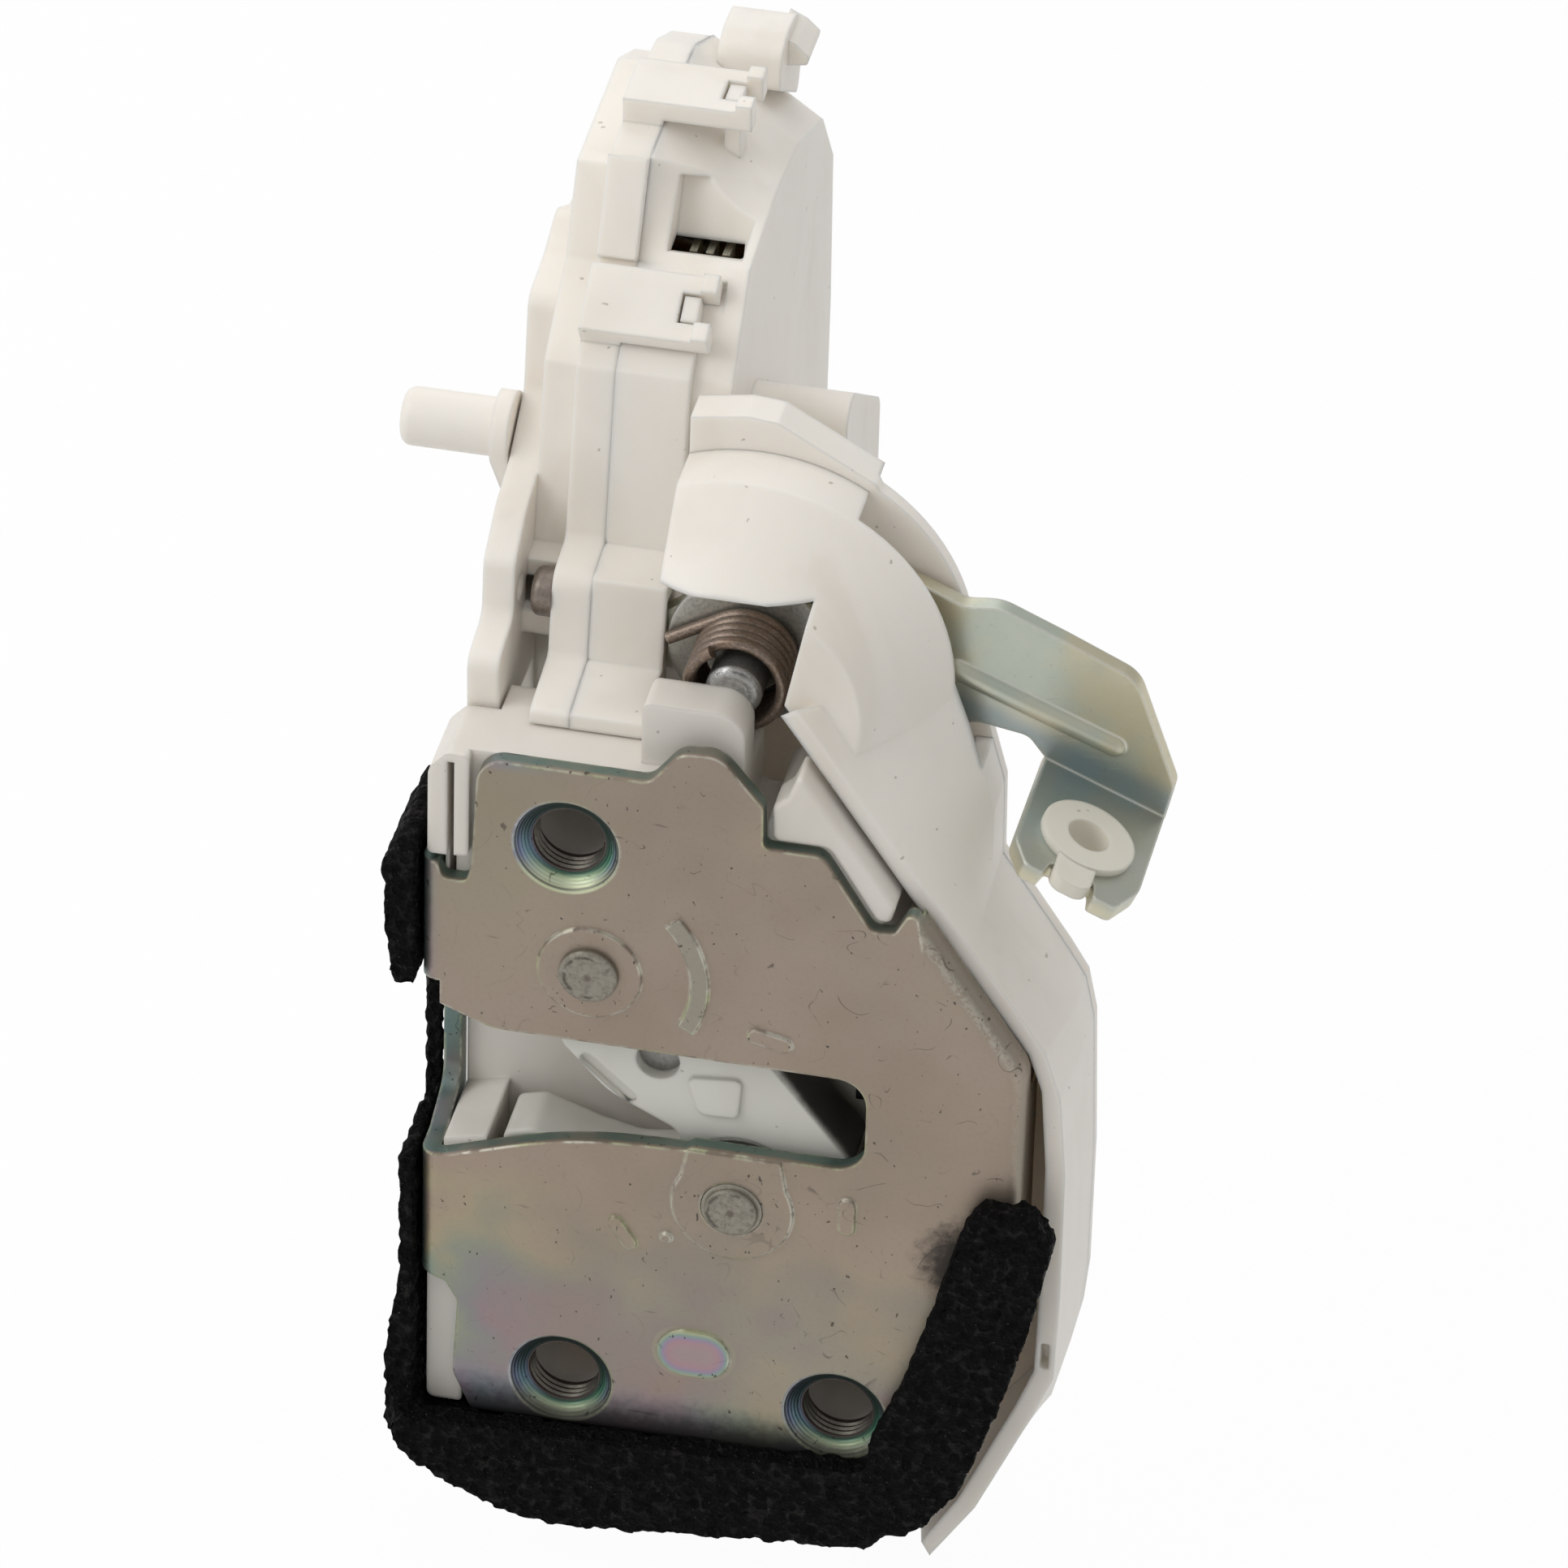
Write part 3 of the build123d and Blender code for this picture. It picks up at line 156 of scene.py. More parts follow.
# Painted shade on the catch's wall
WALL_SHADE = (0.03, 0.025, 0.022)
THREAD_STEEL = (0.13, 0.12, 0.10)
CATCH_STEEL = (0.33, 0.32, 0.30)
CATCH_GREY = (0.72, 0.71, 0.65)
CLIP_WHITE = (0.74, 0.71, 0.62)
SHAFT_STEEL = (0.42, 0.42, 0.41)
WASHER_STEEL = (0.55, 0.55, 0.51)
SCREW_STEEL = (0.26, 0.22, 0.19)
CAN_STEEL = (0.45, 0.45, 0.43)
BRASS = (0.62, 0.46, 0.20)
TIN = (0.52, 0.51, 0.42)
LEVER_STRAW = (0.58, 0.54, 0.39)
LEVER_PALE = (0.68, 0.66, 0.54)
LEVER_GREEN = (0.46, 0.53, 0.48)
LEVER_BLUE = (0.20, 0.30, 0.38)
# Painted highlight on the lever's edges
LEVER_EDGE_HIGHLIGHT = (0.90, 0.89, 0.82)
LEVER_DARK = (0.12, 0.11, 0.09)
LEVER_SCRATCH = (0.62, 0.62, 0.58)
DENT = (0.10, 0.075, 0.06)
TEMPER_BROWN = (0.22, 0.13, 0.08)
PLASTIC_SPECK = (0.30, 0.26, 0.21)
FOAM_RIM = (0.016, 0.015, 0.014)
FOAM_SPARK = (0.10, 0.10, 0.10)
RUBBER = (0.012, 0.012, 0.012)
RUBBER_DUST = (0.04, 0.038, 0.035)
# The catch's wall past this plane gets painted shade: x share, z share and distance
CATCH_SHADE_PLANE = (0.78, 0.63, 0.31)


# Sizes and colours that a user would change

class LatchSizes(bpy.types.PropertyGroup):
    """Sizes of edges, threads and foam"""
    plastic_edge: bpy.props.FloatProperty(
        name="Plastic edge", description="Rounding of the moulded edges",
        default=0.7 * MM, unit="LENGTH")
    metal_edge: bpy.props.FloatProperty(
        name="Metal edge", description="Rounding of the sheared sheet edges",
        default=0.5 * MM, unit="LENGTH")
    thread_pitch: bpy.props.FloatProperty(
        name="Thread pitch", description="Pitch of the threads in the fixing collars",
        default=0.8 * MM, unit="LENGTH")
    pore_depth: bpy.props.FloatProperty(
        name="Pore depth", description="How deep the open cells of the foam go",
        default=0.62 * MM, unit="LENGTH")
    foam_cell: bpy.props.FloatProperty(
        name="Foam cell", description="Mesh size of the foam seal",
        default=0.55 * MM, unit="LENGTH")


class LatchColours(bpy.types.PropertyGroup):
    """Colours of the main materials"""
    zinc: bpy.props.FloatVectorProperty(
        name="Zinc", description="Passivated zinc of the base plate",
        subtype="COLOR", size=3, default=(0.30, 0.242, 0.19))
    bright_steel: bpy.props.FloatVectorProperty(
        name="Bright steel", description="Plain steel of rivets, shaft and screws",
        subtype="COLOR", size=3, default=(0.30, 0.278, 0.23))
    spring: bpy.props.FloatVectorProperty(
        name="Spring wire", description="Oil-tempered spring wire",
        subtype="COLOR", size=3, default=(0.20, 0.155, 0.125))
    acetal: bpy.props.FloatVectorProperty(
        name="Acetal", description="Opaque white of the latch body and catch",
        subtype="COLOR", size=3, default=(0.795, 0.755, 0.695))
    natural: bpy.props.FloatVectorProperty(
        name="Natural plastic", description="Milky plastic of the case and covers",
        subtype="COLOR", size=3, default=(0.90, 0.855, 0.79))
    foam: bpy.props.FloatVectorProperty(
        name="Foam", description="Black of the foam seal",
        subtype="COLOR", size=3, default=(0.003, 0.003, 0.003))


class LatchStage(bpy.types.PropertyGroup):
    """Camera and light"""
    azimuth: bpy.props.FloatProperty(
        name="Azimuth", description="Camera angle round the part",
        default=math.radians(11.0), subtype="ANGLE")
    elevation: bpy.props.FloatProperty(
        name="Elevation", description="Camera angle above the horizon",
        default=math.radians(35.0), subtype="ANGLE")
    roll: bpy.props.FloatProperty(
        name="Roll", description="Turn of the camera about its own axis",
        default=math.radians(1.7), subtype="ANGLE")
    distance: bpy.props.FloatProperty(
        name="Distance", description="From the camera to the upper fixing hole",
        default=1.1, unit="LENGTH")
    lens: bpy.props.FloatProperty(
        name="Lens", description="Focal length in millimetres", default=235.7)
    light: bpy.props.FloatProperty(
        name="Light", description="Strength of the soft lamps together", default=1.0, min=0.0)


# Shader expressions

class Socket:
    """A value or a colour in a material, for use in expressions."""

    def __init__(self, paint, out):
        self.paint = paint
        self.out = out

    def __add__(self, other):
        return self.paint.maths("ADD", self, other)

    __radd__ = __add__

    def __mul__(self, other):
        return self.paint.maths("MULTIPLY", self, other)

    def __sub__(self, other):
        return self.paint.maths("SUBTRACT", self, other)

    def __rsub__(self, other):
        return self.paint.maths("SUBTRACT", other, self)

    def __abs__(self):
        return self.paint.maths("ABSOLUTE", self)


class Paint:
    """A material with its nodes."""

    def __init__(self, name, edge=0.0):
        self.material = bpy.data.materials.new(name)
        self.material.use_nodes = True
        self.tree = self.material.node_tree
        self.tree.nodes.clear()
        self.output = self.tree.nodes.new("ShaderNodeOutputMaterial")
        self.edge = edge
        self.coordinates = None
        self.soft_edge = None

    def node(self, kind, settings=None, **sockets):
        """Any node: its settings first, then the values or links of its sockets."""
        made = self.tree.nodes.new(kind)
        for key, value in (settings or {}).items():
            if key == "stops":
                ramp = made.color_ramp
                while len(ramp.elements) < len(value):
                    ramp.elements.new(1.0)
                for element, (place, colour) in zip(ramp.elements, value):
                    element.position = place
                    element.color = (*colour, 1.0)
            else:
                setattr(made, key, value)
        for key, value in sockets.items():
            which = int(key[1:]) if key[1:].isdigit() else key.replace("_", " ")
            self.feed(made.inputs[which], value)
        return made

    def feed(self, target, value):
        if isinstance(value, Socket):
            self.tree.links.new(value.out, target)
        elif target.type == "RGBA" and len(value) == 3:
            target.default_value = (*value, 1.0)
        else:
            target.default_value = value

    def take(self, node, name=0):
        return Socket(self, node.outputs[name])

    def maths(self, operation, a, b=0.0):
        return self.take(self.node("ShaderNodeMath", {"operation": operation}, _0=a, _1=b))

    def place(self, turn=(0.0, 0.0, 0.0), stretch=(1.0, 1.0, 1.0)):
        """Object coordinates in millimetres, turned and stretched."""
        if not self.coordinates:
            self.coordinates = self.take(self.node("ShaderNodeTexCoord"), "Object")
        scale = tuple(s / MM for s in stretch)
        return self.take(self.node("ShaderNodeMapping", {"vector_type": "POINT"},
                                   Vector=self.coordinates, Rotation=turn, Scale=scale))

    def axes(self):
        """The x, y and z of a point on the part, in millimetres."""
        split = self.node("ShaderNodeSeparateXYZ", Vector=self.place())
        return [self.take(split, axis) for axis in range(3)]

    def grain(self, size, detail=2.0, roughness=0.5, turn=(0.0, 0.0, 0.0), stretch=(1.0, 1.0, 1.0),
              warp=0.0):
        """Soft noise whose lumps are about size millimetres wide."""
        made = self.node("ShaderNodeTexNoise", {"noise_dimensions": "3D"},
                         Vector=self.place(turn, stretch), Scale=1.0 / size, Detail=detail,
                         Roughness=roughness, Distortion=warp)
        return self.take(made, 0)

    def cells(self, size):
        """Distance to the nearest of points that lie about size millimetres apart."""
        made = self.node("ShaderNodeTexVoronoi", {"feature": "F1"}, Vector=self.place(),
                         Scale=1.0 / size)
        return self.take(made, "Distance")

    def between(self, value, low, high, start=0.0, end=1.0):
        """Smooth step of a value from low to high."""
        made = self.node("ShaderNodeMapRange", {"interpolation_type": "SMOOTHSTEP", "clamp": True},
                         Value=value, From_Min=low, From_Max=high, To_Min=start, To_Max=end)
        return self.take(made)

    def ramp(self, value, *stops):
        return self.take(self.node("ShaderNodeValToRGB", {"stops": stops}, Fac=value))

    def mix(self, first, second, factor):
        """Colour between two colours."""
        settings = {"data_type": "RGBA", "blend_type": "MIX", "clamp_factor": True}
        made = self.node("ShaderNodeMix", settings, _0=factor, _6=first, _7=second)
        return self.take(made, 2)

    def away(self, x, z):
        """Distance from a line through (x, z) along the depth, in millimetres."""
        flat = self.node("ShaderNodeVectorMath", {"operation": "MULTIPLY"},
                         _0=self.place(), _1=(1.0, 0.0, 1.0))
        far = self.node("ShaderNodeVectorMath", {"operation": "DISTANCE"},
                        _0=self.take(flat), _1=(x, 0.0, z))
        return self.take(far, "Value")

    def rounded(self):
        """Normal of the surface with its edges a little rounded."""
        if not self.soft_edge:
            bevel = self.node("ShaderNodeBevel", {"samples": 4}, Radius=self.edge)
            self.soft_edge = self.take(bevel)
        return self.soft_edge

    def ridge(self):
        """1 on the rounded edges, 0 on the faces between them."""
        true = self.take(self.node("ShaderNodeNewGeometry"), "Normal")
        dot = self.node("ShaderNodeVectorMath", {"operation": "DOT_PRODUCT"},
                        _0=self.rounded(), _1=true)
        return self.between(self.take(dot, "Value"), 0.99, 0.88)

    def bump(self, height, depth):
        """Normal from a height field whose full step is depth millimetres, over rounded edges."""
        sockets = {"Height": height, "Strength": 1.0, "Distance": depth * MM}
        if self.edge:
            sockets["Normal"] = self.rounded()
        return self.take(self.node("ShaderNodeBump", **sockets))

    def finish(self, **sockets):
        """Principled shader with these sockets, joined to the output."""
        shader = self.node("ShaderNodeBsdfPrincipled", **sockets)
        self.tree.links.new(shader.outputs[0], self.output.inputs[0])
        return self.material


def shade(colour, factor, most=1.0):
    """The colour, lighter or darker."""
    return tuple(min(most, part * factor) for part in colour)


def film_colour(paint, phase):
    """Interference colours of a thin passivation film, straw to violet to green."""
    return paint.ramp(paint.maths("FRACT", phase), *FILM_STOPS)


def dimple_colour(paint, far, x, z, cx, cz):
    """Turned rings of a drawn collar: dark rim, blue and green bands, a painted violet reflection
    on the left, painted shade on the upper half and a painted highlight at the bottom.
    """
    band = paint.between(far, THREAD_R + 0.1, RIM_R)
    rings = paint.ramp(band, *COLLAR_STOPS)
    # painted reflection: violet on the left side of the cone
    rings = paint.mix(rings, COLLAR_VIOLET_REFLECTION, paint.between(x, cx - 1.0, cx - 5.5) * 0.5)
    # painted shade on the upper half of the cone
    high = paint.between(z, cz - 2.5, cz + 2.5) * paint.between(band, 0.97, 0.75)
    rings = paint.mix(rings, COLLAR_SHADE, high * 0.88)
    # painted highlight low on the cone
    low = paint.between(z, cz - 1.5, cz - 5.0) * paint.between(far, THREAD_R + 0.3, THREAD_R + 0.9)
    rings = paint.mix(rings, COLLAR_HIGHLIGHT, low * 0.75)
    groove = paint.between(abs(far - (RIM_R - 0.35)), 0.16, 0.04)
    return paint.mix(rings, GROOVE, groove * 0.7)


def zinc_material(name, colours, edge, film=1.0):
    """Pressed sheet, zinc plated and passivated."""
    paint = Paint(name, edge)
    x, y, z = paint.axes()
    cloud = paint.grain(26.0, 3.0, 0.55)
    patch = paint.grain(10.0, 3.0, 0.6)
    fine = paint.grain(0.55, 4.0, 0.7)
    base = paint.mix(colours.zinc, shade(colours.zinc, 1.16), paint.between(cloud, 0.35, 0.65))
    base = paint.mix(base, shade(colours.zinc, 0.72), paint.between(fine, 0.5, 0.85) * 0.35)
    upper_left = paint.between(x, 14.0, -12.0) * paint.between(z, -22.0, 2.0)
    base = paint.mix(base, OLIVE, upper_left * 0.55)
    # film colours: on the lower half, at the left bend and along the upper edge
    phase = cloud * 2.2 + patch * 0.8 + z * 0.012
    near_left = paint.between(x, 2.0, -12.0) * paint.between(z, -40.0, -46.0)
    lower = paint.between(z, -42.0, -62.0, 0.03, 0.16) + near_left * 0.24
    lower = lower + paint.between(z, -71.0, -75.5) * 0.3
    top_bend = paint.between(z, 8.4, 9.6) * paint.between(x, 2.0, -10.0)
    bend = paint.between(x, -13.6, -15.8) + top_bend
    share = paint.maths("MINIMUM", (lower + bend * 0.4) * film, 0.7)
    base = paint.mix(base, film_colour(paint, phase), share)
    # dark green walls where the sheet was sheared, and a painted highlight broken by wear along the
    # bend at the right
    sheared = paint.between(y, 0.3, 0.8) * paint.between(patch, 0.35, 0.6, 0.45, 1.0)
    flank = paint.between(x, 35.5, 37.5) * paint.between(z, -2.0, -5.0)
    sheared = sheared * (1.0 - flank * 0.75)
    # painted highlight along the right bend, broken up like wear
    worn_highlight = flank * paint.between(y, 0.0, 0.25) * paint.between(y, 1.1, 0.5)
    worn_highlight = worn_highlight * paint.between(fine, 0.38, 0.56)
    base = paint.mix(base, WORN_HIGHLIGHT, worn_highlight * paint.between(z, -25.0, -19.0, 0.15, 0.6))
    base = paint.mix(base, SHEARED, sheared * film * 0.8)
    # the curved pad, but not the raised rings round the pivots or the small pads
    raised = paint.between(y, -0.18, -0.3)
    for pivot in (CATCH_PIVOT, PAWL_PIVOT):
        raised = raised * paint.between(paint.away(*pivot), 7.5, 8.0)
    raised = raised * paint.between(x, 19.5, 18.5) * paint.between(z, -30.0, -28.0)
    base = paint.mix(base, PAD_GREEN, raised * 0.45 * film)
    for cx, cz in FIXINGS:
        far = paint.away(cx, cz)
        ring = paint.between(far, RIM_R + 0.15, RIM_R - 0.1) * paint.between(y, -0.5, 0.02)
        base = paint.mix(base, dimple_colour(paint, far, x, z, cx, cz), ring * film)
        # painted shade on the bore wall, dark with a reddish tint
        wall = paint.between(far, THREAD_R + 0.15, THREAD_R + 0.05)
        base = paint.mix(base, BORE_SHADE, wall * 0.8)
    # the oval boss
    across = paint.maths("MAXIMUM", abs(x - BOSS[0]) - BOSS_HALF, 0.0)
    along = z - BOSS[1]
    far = paint.maths("SQRT", across * across + along * along)
    oval = paint.ramp(paint.between(far, 0.0, BOSS_R), *BOSS_STOPS)
    inside = paint.between(far, BOSS_R + 0.3, BOSS_R) * paint.between(y, 0.05, -0.12)
    base = paint.mix(base, oval, inside * 0.8 * film)
    # painted highlights along the rounded edges, and dark stretches of edge dirt and painted shade
    edge = paint.ridge()
    for centre in FIXINGS:
        edge = edge * paint.between(paint.away(*centre), RIM_R - 0.9, RIM_R - 0.6)
    glint = edge * paint.between(paint.grain(3.0, 3.0, 0.6), 0.36, 0.56)
    shine = paint.mix(GLINT, GLINT_GREEN, paint.between(patch, 0.42, 0.6))
    base = paint.mix(base, shine, glint * 0.85)
    # dark edge dirt and painted shade along the rounded edges
    dirt_and_shade = edge * paint.between(paint.grain(2.2, 3.0, 0.6), 0.58, 0.68)
    base = paint.mix(base, EDGE_DIRT_AND_SHADE, dirt_and_shade * 0.6)
    # specks, nicks, hair scratches, the smear that the foam left at its top corner, and painted
    # shade where the lower bend reflects the dark foam
    specks = paint.between(paint.grain(0.8, 2.0, 0.5, stretch=(1.0, 1.0, 0.7)), 0.69, 0.72)
    drag = paint.grain(1.5, 2.0, 0.7, turn=(0.0, 1.1, 0.0), stretch=(0.14, 1.0, 1.0))
    nicks = paint.between(drag, 0.70, 0.74)
    base = paint.mix(base, SPECK, paint.maths("MINIMUM", specks + nicks * 0.5, 1.0) * 0.75)
    hair = paint.between(abs(paint.grain(7.0, 1.0, 0.5, warp=0.6) - 0.5), 0.007, 0.002)
    hair = hair * paint.between(paint.grain(3.6, 2.0), 0.5, 0.6)
    hair = hair * paint.between(x, 18.0, 34.0, 0.25, 1.0)
    curls = paint.between(abs(paint.grain(1.7, 1.0) - 0.5), 0.03, 0.012)
    curls = curls * paint.between(paint.grain(2.6, 1.0), 0.7, 0.74)
    base = paint.mix(base, HAIR, paint.maths("MAXIMUM", hair * 0.55, curls * 0.6))
    ragged = paint.grain(1.4, 4.0, 0.65)
    corner = paint.between(paint.away(*FOAM_TOP) + ragged * 5.0, 9.6, 5.6)
    # painted shade: the lower bend's dark reflection of the foam
    foot_shade = paint.between(z + ragged * 3.0, -70.6, -76.0)
    smear_and_shade = paint.maths("MAXIMUM", corner, foot_shade) * paint.between(y, 1.5, 0.5)
    base = paint.mix(base, FOAM_SMEAR_AND_SHADE, smear_and_shade * 0.85)
    rough = 0.36 + fine * 0.16 + smear_and_shade * 0.15 - glint * 0.12
    height = fine * 0.4 + paint.grain(0.25, 2.0) * 0.3
    for cx, cz in FIXINGS:
        far = paint.away(cx, cz)
        turned = paint.maths("SINE", far * 21.0) * paint.between(far, RIM_R + 0.1, RIM_R - 0.1)
        height = height + turned * paint.between(y, -0.2, 0.05) * 0.5
    return paint.finish(Base_Color=base, Metallic=0.7, Roughness=rough,
                        Normal=paint.bump(height, 0.03))


def lever_material(name, edge):
    """Bright zinc with straw clouds, a blue band at the bend and painted highlights along its
    edges.
    """
    paint = Paint(name, edge)
    x, _, z = paint.axes()
    cloud = paint.grain(13.0, 2.0, 0.5)
    fine = paint.grain(0.6, 4.0, 0.65)
    base = paint.mix(LEVER_STRAW, LEVER_PALE, paint.between(cloud, 0.35, 0.65))
    patch = paint.between(paint.grain(8.0, 2.0), 0.42, 0.66)
    base = paint.mix(base, LEVER_GREEN, patch * 0.7)
    band = paint.between(abs(z - 8.5 + (x - 48.0) * 0.4), 3.4, 0.4)
    base = paint.mix(base, LEVER_BLUE, band * 0.6)
    # painted highlight along the rounded edges
    base = paint.mix(base, LEVER_EDGE_HIGHLIGHT, paint.ridge() * 0.85)
    base = paint.mix(base, LEVER_DARK, paint.between(fine, 0.62, 0.8) * 0.35)
    drag = paint.grain(0.5, 3.0, 0.7, turn=(0.0, -0.4, 0.0), stretch=(0.08, 1.0, 1.0))
    scratch = paint.between(drag, 0.64, 0.72)
    base = paint.mix(base, LEVER_SCRATCH, scratch * 0.3)
    height = fine * 0.6 + scratch * 0.4
    return paint.finish(Base_Color=base, Metallic=0.78, Roughness=0.3 + fine * 0.18,
                        Normal=paint.bump(height, 0.03))


def steel_material(name, colour, rough=0.34, edge=0.0, centres=()):
    """Plain steel; round a rivet's centre the peening leaves rings and dents."""
    paint = Paint(name, edge)
    fine = paint.grain(0.5, 4.0, 0.65)
    base = paint.mix(colour, shade(colour, 0.5), paint.between(fine, 0.42, 0.75) * 0.6)
    height = fine * 0.6
    for cx, cz in centres:
        far = paint.away(cx, cz)
        uneven = far + paint.grain(1.2, 2.0) * 0.35
        height = height + paint.maths("SINE", uneven * 9.0) * paint.between(far, 5.0, 4.0) * 0.25
        dent = paint.between(uneven, 0.75, 0.35)
        pits = paint.between(paint.grain(0.8, 3.0, 0.7), 0.5, 0.62) * paint.between(far, 3.4, 3.0)
        height = height - dent * 1.5 - pits * 0.4
        base = paint.mix(base, shade(colour, 0.45), pits * 0.28)
        base = paint.mix(base, DENT, dent * 0.6)
        burr = paint.between(abs(uneven - 2.75), 0.3, 0.1)
        burr = burr * paint.between(paint.grain(2.0, 2.0), 0.45, 0.6)
        base = paint.mix(base, EDGE_DIRT_AND_SHADE, burr * 0.7)
    if edge:
        # painted highlight along the rounded edges
        base = paint.mix(base, shade(colour, 1.7, 0.85), paint.ridge() * 0.5)
    return paint.finish(Base_Color=base, Metallic=0.8, Roughness=rough + fine * 0.2,
                        Normal=paint.bump(height, 0.06))


def wire_material(name, colours):
    """Spring wire with drawing streaks and a brown temper film."""
    paint = Paint(name)
    streak = paint.grain(0.35, 3.0, 0.6, stretch=(1.0, 3.0, 1.0))
    base = paint.mix(colours.spring, shade(colours.spring, 1.9), paint.between(streak, 0.4, 0.75))
    temper = paint.between(paint.grain(2.5, 2.0), 0.5, 0.75)
    base = paint.mix(base, TEMPER_BROWN, temper * 0.4)
    return paint.finish(Base_Color=base, Metallic=0.75, Roughness=0.3 + streak * 0.15,
                        Normal=paint.bump(streak, 0.03))


def moulded_material(name, colour, edge, clear=0.35, gloss=0.4, shade_plane=None):
    """Unpigmented moulding: milky, with faint flow marks and a fine spark-eroded skin.

    shade_plane is the x share, z share and distance of a plane. The wall past it gets painted
    shade.
    """
    paint = Paint(name, edge)
    flow = paint.grain(14.0, 3.0, 0.55, stretch=(1.0, 1.0, 0.45), warp=0.6)
    fine = paint.grain(0.22, 2.0, 0.6)
    scuff = paint.grain(3.0, 4.0, 0.7)
    deep = tuple(part * share for part, share in zip(colour, (0.86, 0.84, 0.80)))
    base = paint.mix(colour, deep, paint.between(flow, 0.46, 0.78) * 0.5)
    base = paint.mix(base, shade(colour, 0.9), paint.between(scuff, 0.6, 0.8) * 0.25)
    # painted highlight along the rounded edges
    base = paint.mix(base, shade(colour, 1.1, 0.97), paint.ridge() * 0.6)
    specks = paint.between(paint.grain(1.2, 1.0, 0.4), 0.785, 0.80)
    base = paint.mix(base, PLASTIC_SPECK, specks * 0.5)
    if shade_plane:
        x, y, z = paint.axes()
        across, along, limit = shade_plane
        wall = paint.between(x * across + z * along, limit - 0.6, limit - 0.15)
        wall = wall * paint.between(y + scuff * 1.5, 2.6, 5.2)
        # painted shade on the wall past the plane
        base = paint.mix(base, WALL_SHADE, wall * 0.93)
    height = fine * 0.4 + scuff * 0.6
    return paint.finish(Base_Color=base, Roughness=gloss + scuff * 0.12,
                        Normal=paint.bump(height, 0.03), Subsurface_Weight=clear,
                        Subsurface_Radius=(1.0, 0.9, 0.8), Subsurface_Scale=1.2 * MM, IOR=1.48)


def foam_material(name, colours):
    """Open-cell foam, deep black with torn cell edges that catch the light."""
    paint = Paint(name)
    cell = paint.cells(1.0)
    small = paint.cells(0.45)
    rim = paint.between(cell, 0.5, 0.8)
    torn = rim * paint.between(paint.grain(1.2, 2.0), 0.42, 0.7)
    base = paint.mix(colours.foam, FOAM_RIM, torn)
    spark = paint.between(paint.grain(0.4, 2.0, 0.6), 0.68, 0.74)
    base = paint.mix(base, FOAM_SPARK, spark * 0.5)
    height = cell * 0.6 + small * 0.4
    return paint.finish(Base_Color=base, Roughness=0.8 - rim * 0.25, Normal=paint.bump(height, 0.8),
                        Specular_IOR_Level=0.09)


def rubber_material(name):
    """Black rubber with pale dust."""
    paint = Paint(name)
    fine = paint.grain(0.3, 3.0, 0.6)
    dust = paint.between(paint.grain(2.0, 3.0, 0.6), 0.5, 0.75)
    base = paint.mix(RUBBER, RUBBER_DUST, dust * 0.5)
    return paint.finish(Base_Color=base, Roughness=0.6 + fine * 0.2, Normal=paint.bump(fine, 0.04))


def drawn_material(name, colour):
    """Drawn or turned metal with fine streaks."""
    paint = Paint(name)
    fine = paint.grain(0.3, 3.0, 0.6, stretch=(1.0, 1.0, 0.2))
    base = paint.mix(colour, shade(colour, 0.66), paint.between(fine, 0.4, 0.7))
    return paint.finish(Base_Color=base, Metallic=0.9, Roughness=0.3 + fine * 0.15,
                        Normal=paint.bump(fine, 0.02))


# Modelling

def clear_selection():
    """Leaves edit mode and selects nothing."""
    if bpy.context.object and bpy.context.object.mode != "OBJECT":
        bpy.ops.object.mode_set(mode="OBJECT")
    bpy.ops.object.select_all(action="DESELECT")


def pick(piece):
    """Selects this object alone and makes it active."""
    clear_selection()
    piece.select_set(True)
    bpy.context.view_layer.objects.active = piece


def apply_all(piece):
    """Applies the modifiers, then puts the place into the mesh."""
    pick(piece)
    for modifier in list(piece.modifiers):
        bpy.ops.object.modifier_apply(modifier=modifier.name)
    bpy.ops.object.transform_apply(location=True, rotation=True, scale=True)


def smooth(piece, degrees=32.0):
    """Smooth shading but for edges sharper than this angle."""
    pick(piece)
    bpy.ops.object.shade_smooth_by_angle(angle=math.radians(degrees))


def merged_copy(node, name):
    """Copy of a CAD node with its vertices joined and its flat faces whole."""
    source = NODES[node]
    piece = bpy.data.objects.new(name, source.data.copy())
    bpy.context.scene.collection.objects.link(piece)
    pick(piece)
    if piece.data.has_custom_normals:
        bpy.ops.mesh.customdata_custom_splitnormals_clear()
    bpy.ops.object.mode_set(mode="EDIT")
    bpy.ops.mesh.select_all(action="SELECT")
    bpy.ops.mesh.remove_doubles(threshold=MERGE_GAP * MM)
    bpy.ops.mesh.dissolve_limited(angle_limit=math.radians(FLAT_DEGREES))
    bpy.ops.object.mode_set(mode="OBJECT")
    return piece


def hand_over(piece, body, material, slot, *nodes):
    """Gives a finished piece its material, its body and the nodes it stands for."""
    piece.data.materials.clear()
    piece.data.materials.append(material)
    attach(piece, body)
    if nodes:
        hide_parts(*nodes)


def dress(material, *nodes):
    """Gives CAD nodes that keep their shape a better material."""
    for name in nodes:
        if not NODES[name].material_slots:
            NODES[name].data.materials.append(material)
        for slot in NODES[name].material_slots:
            slot.material = material


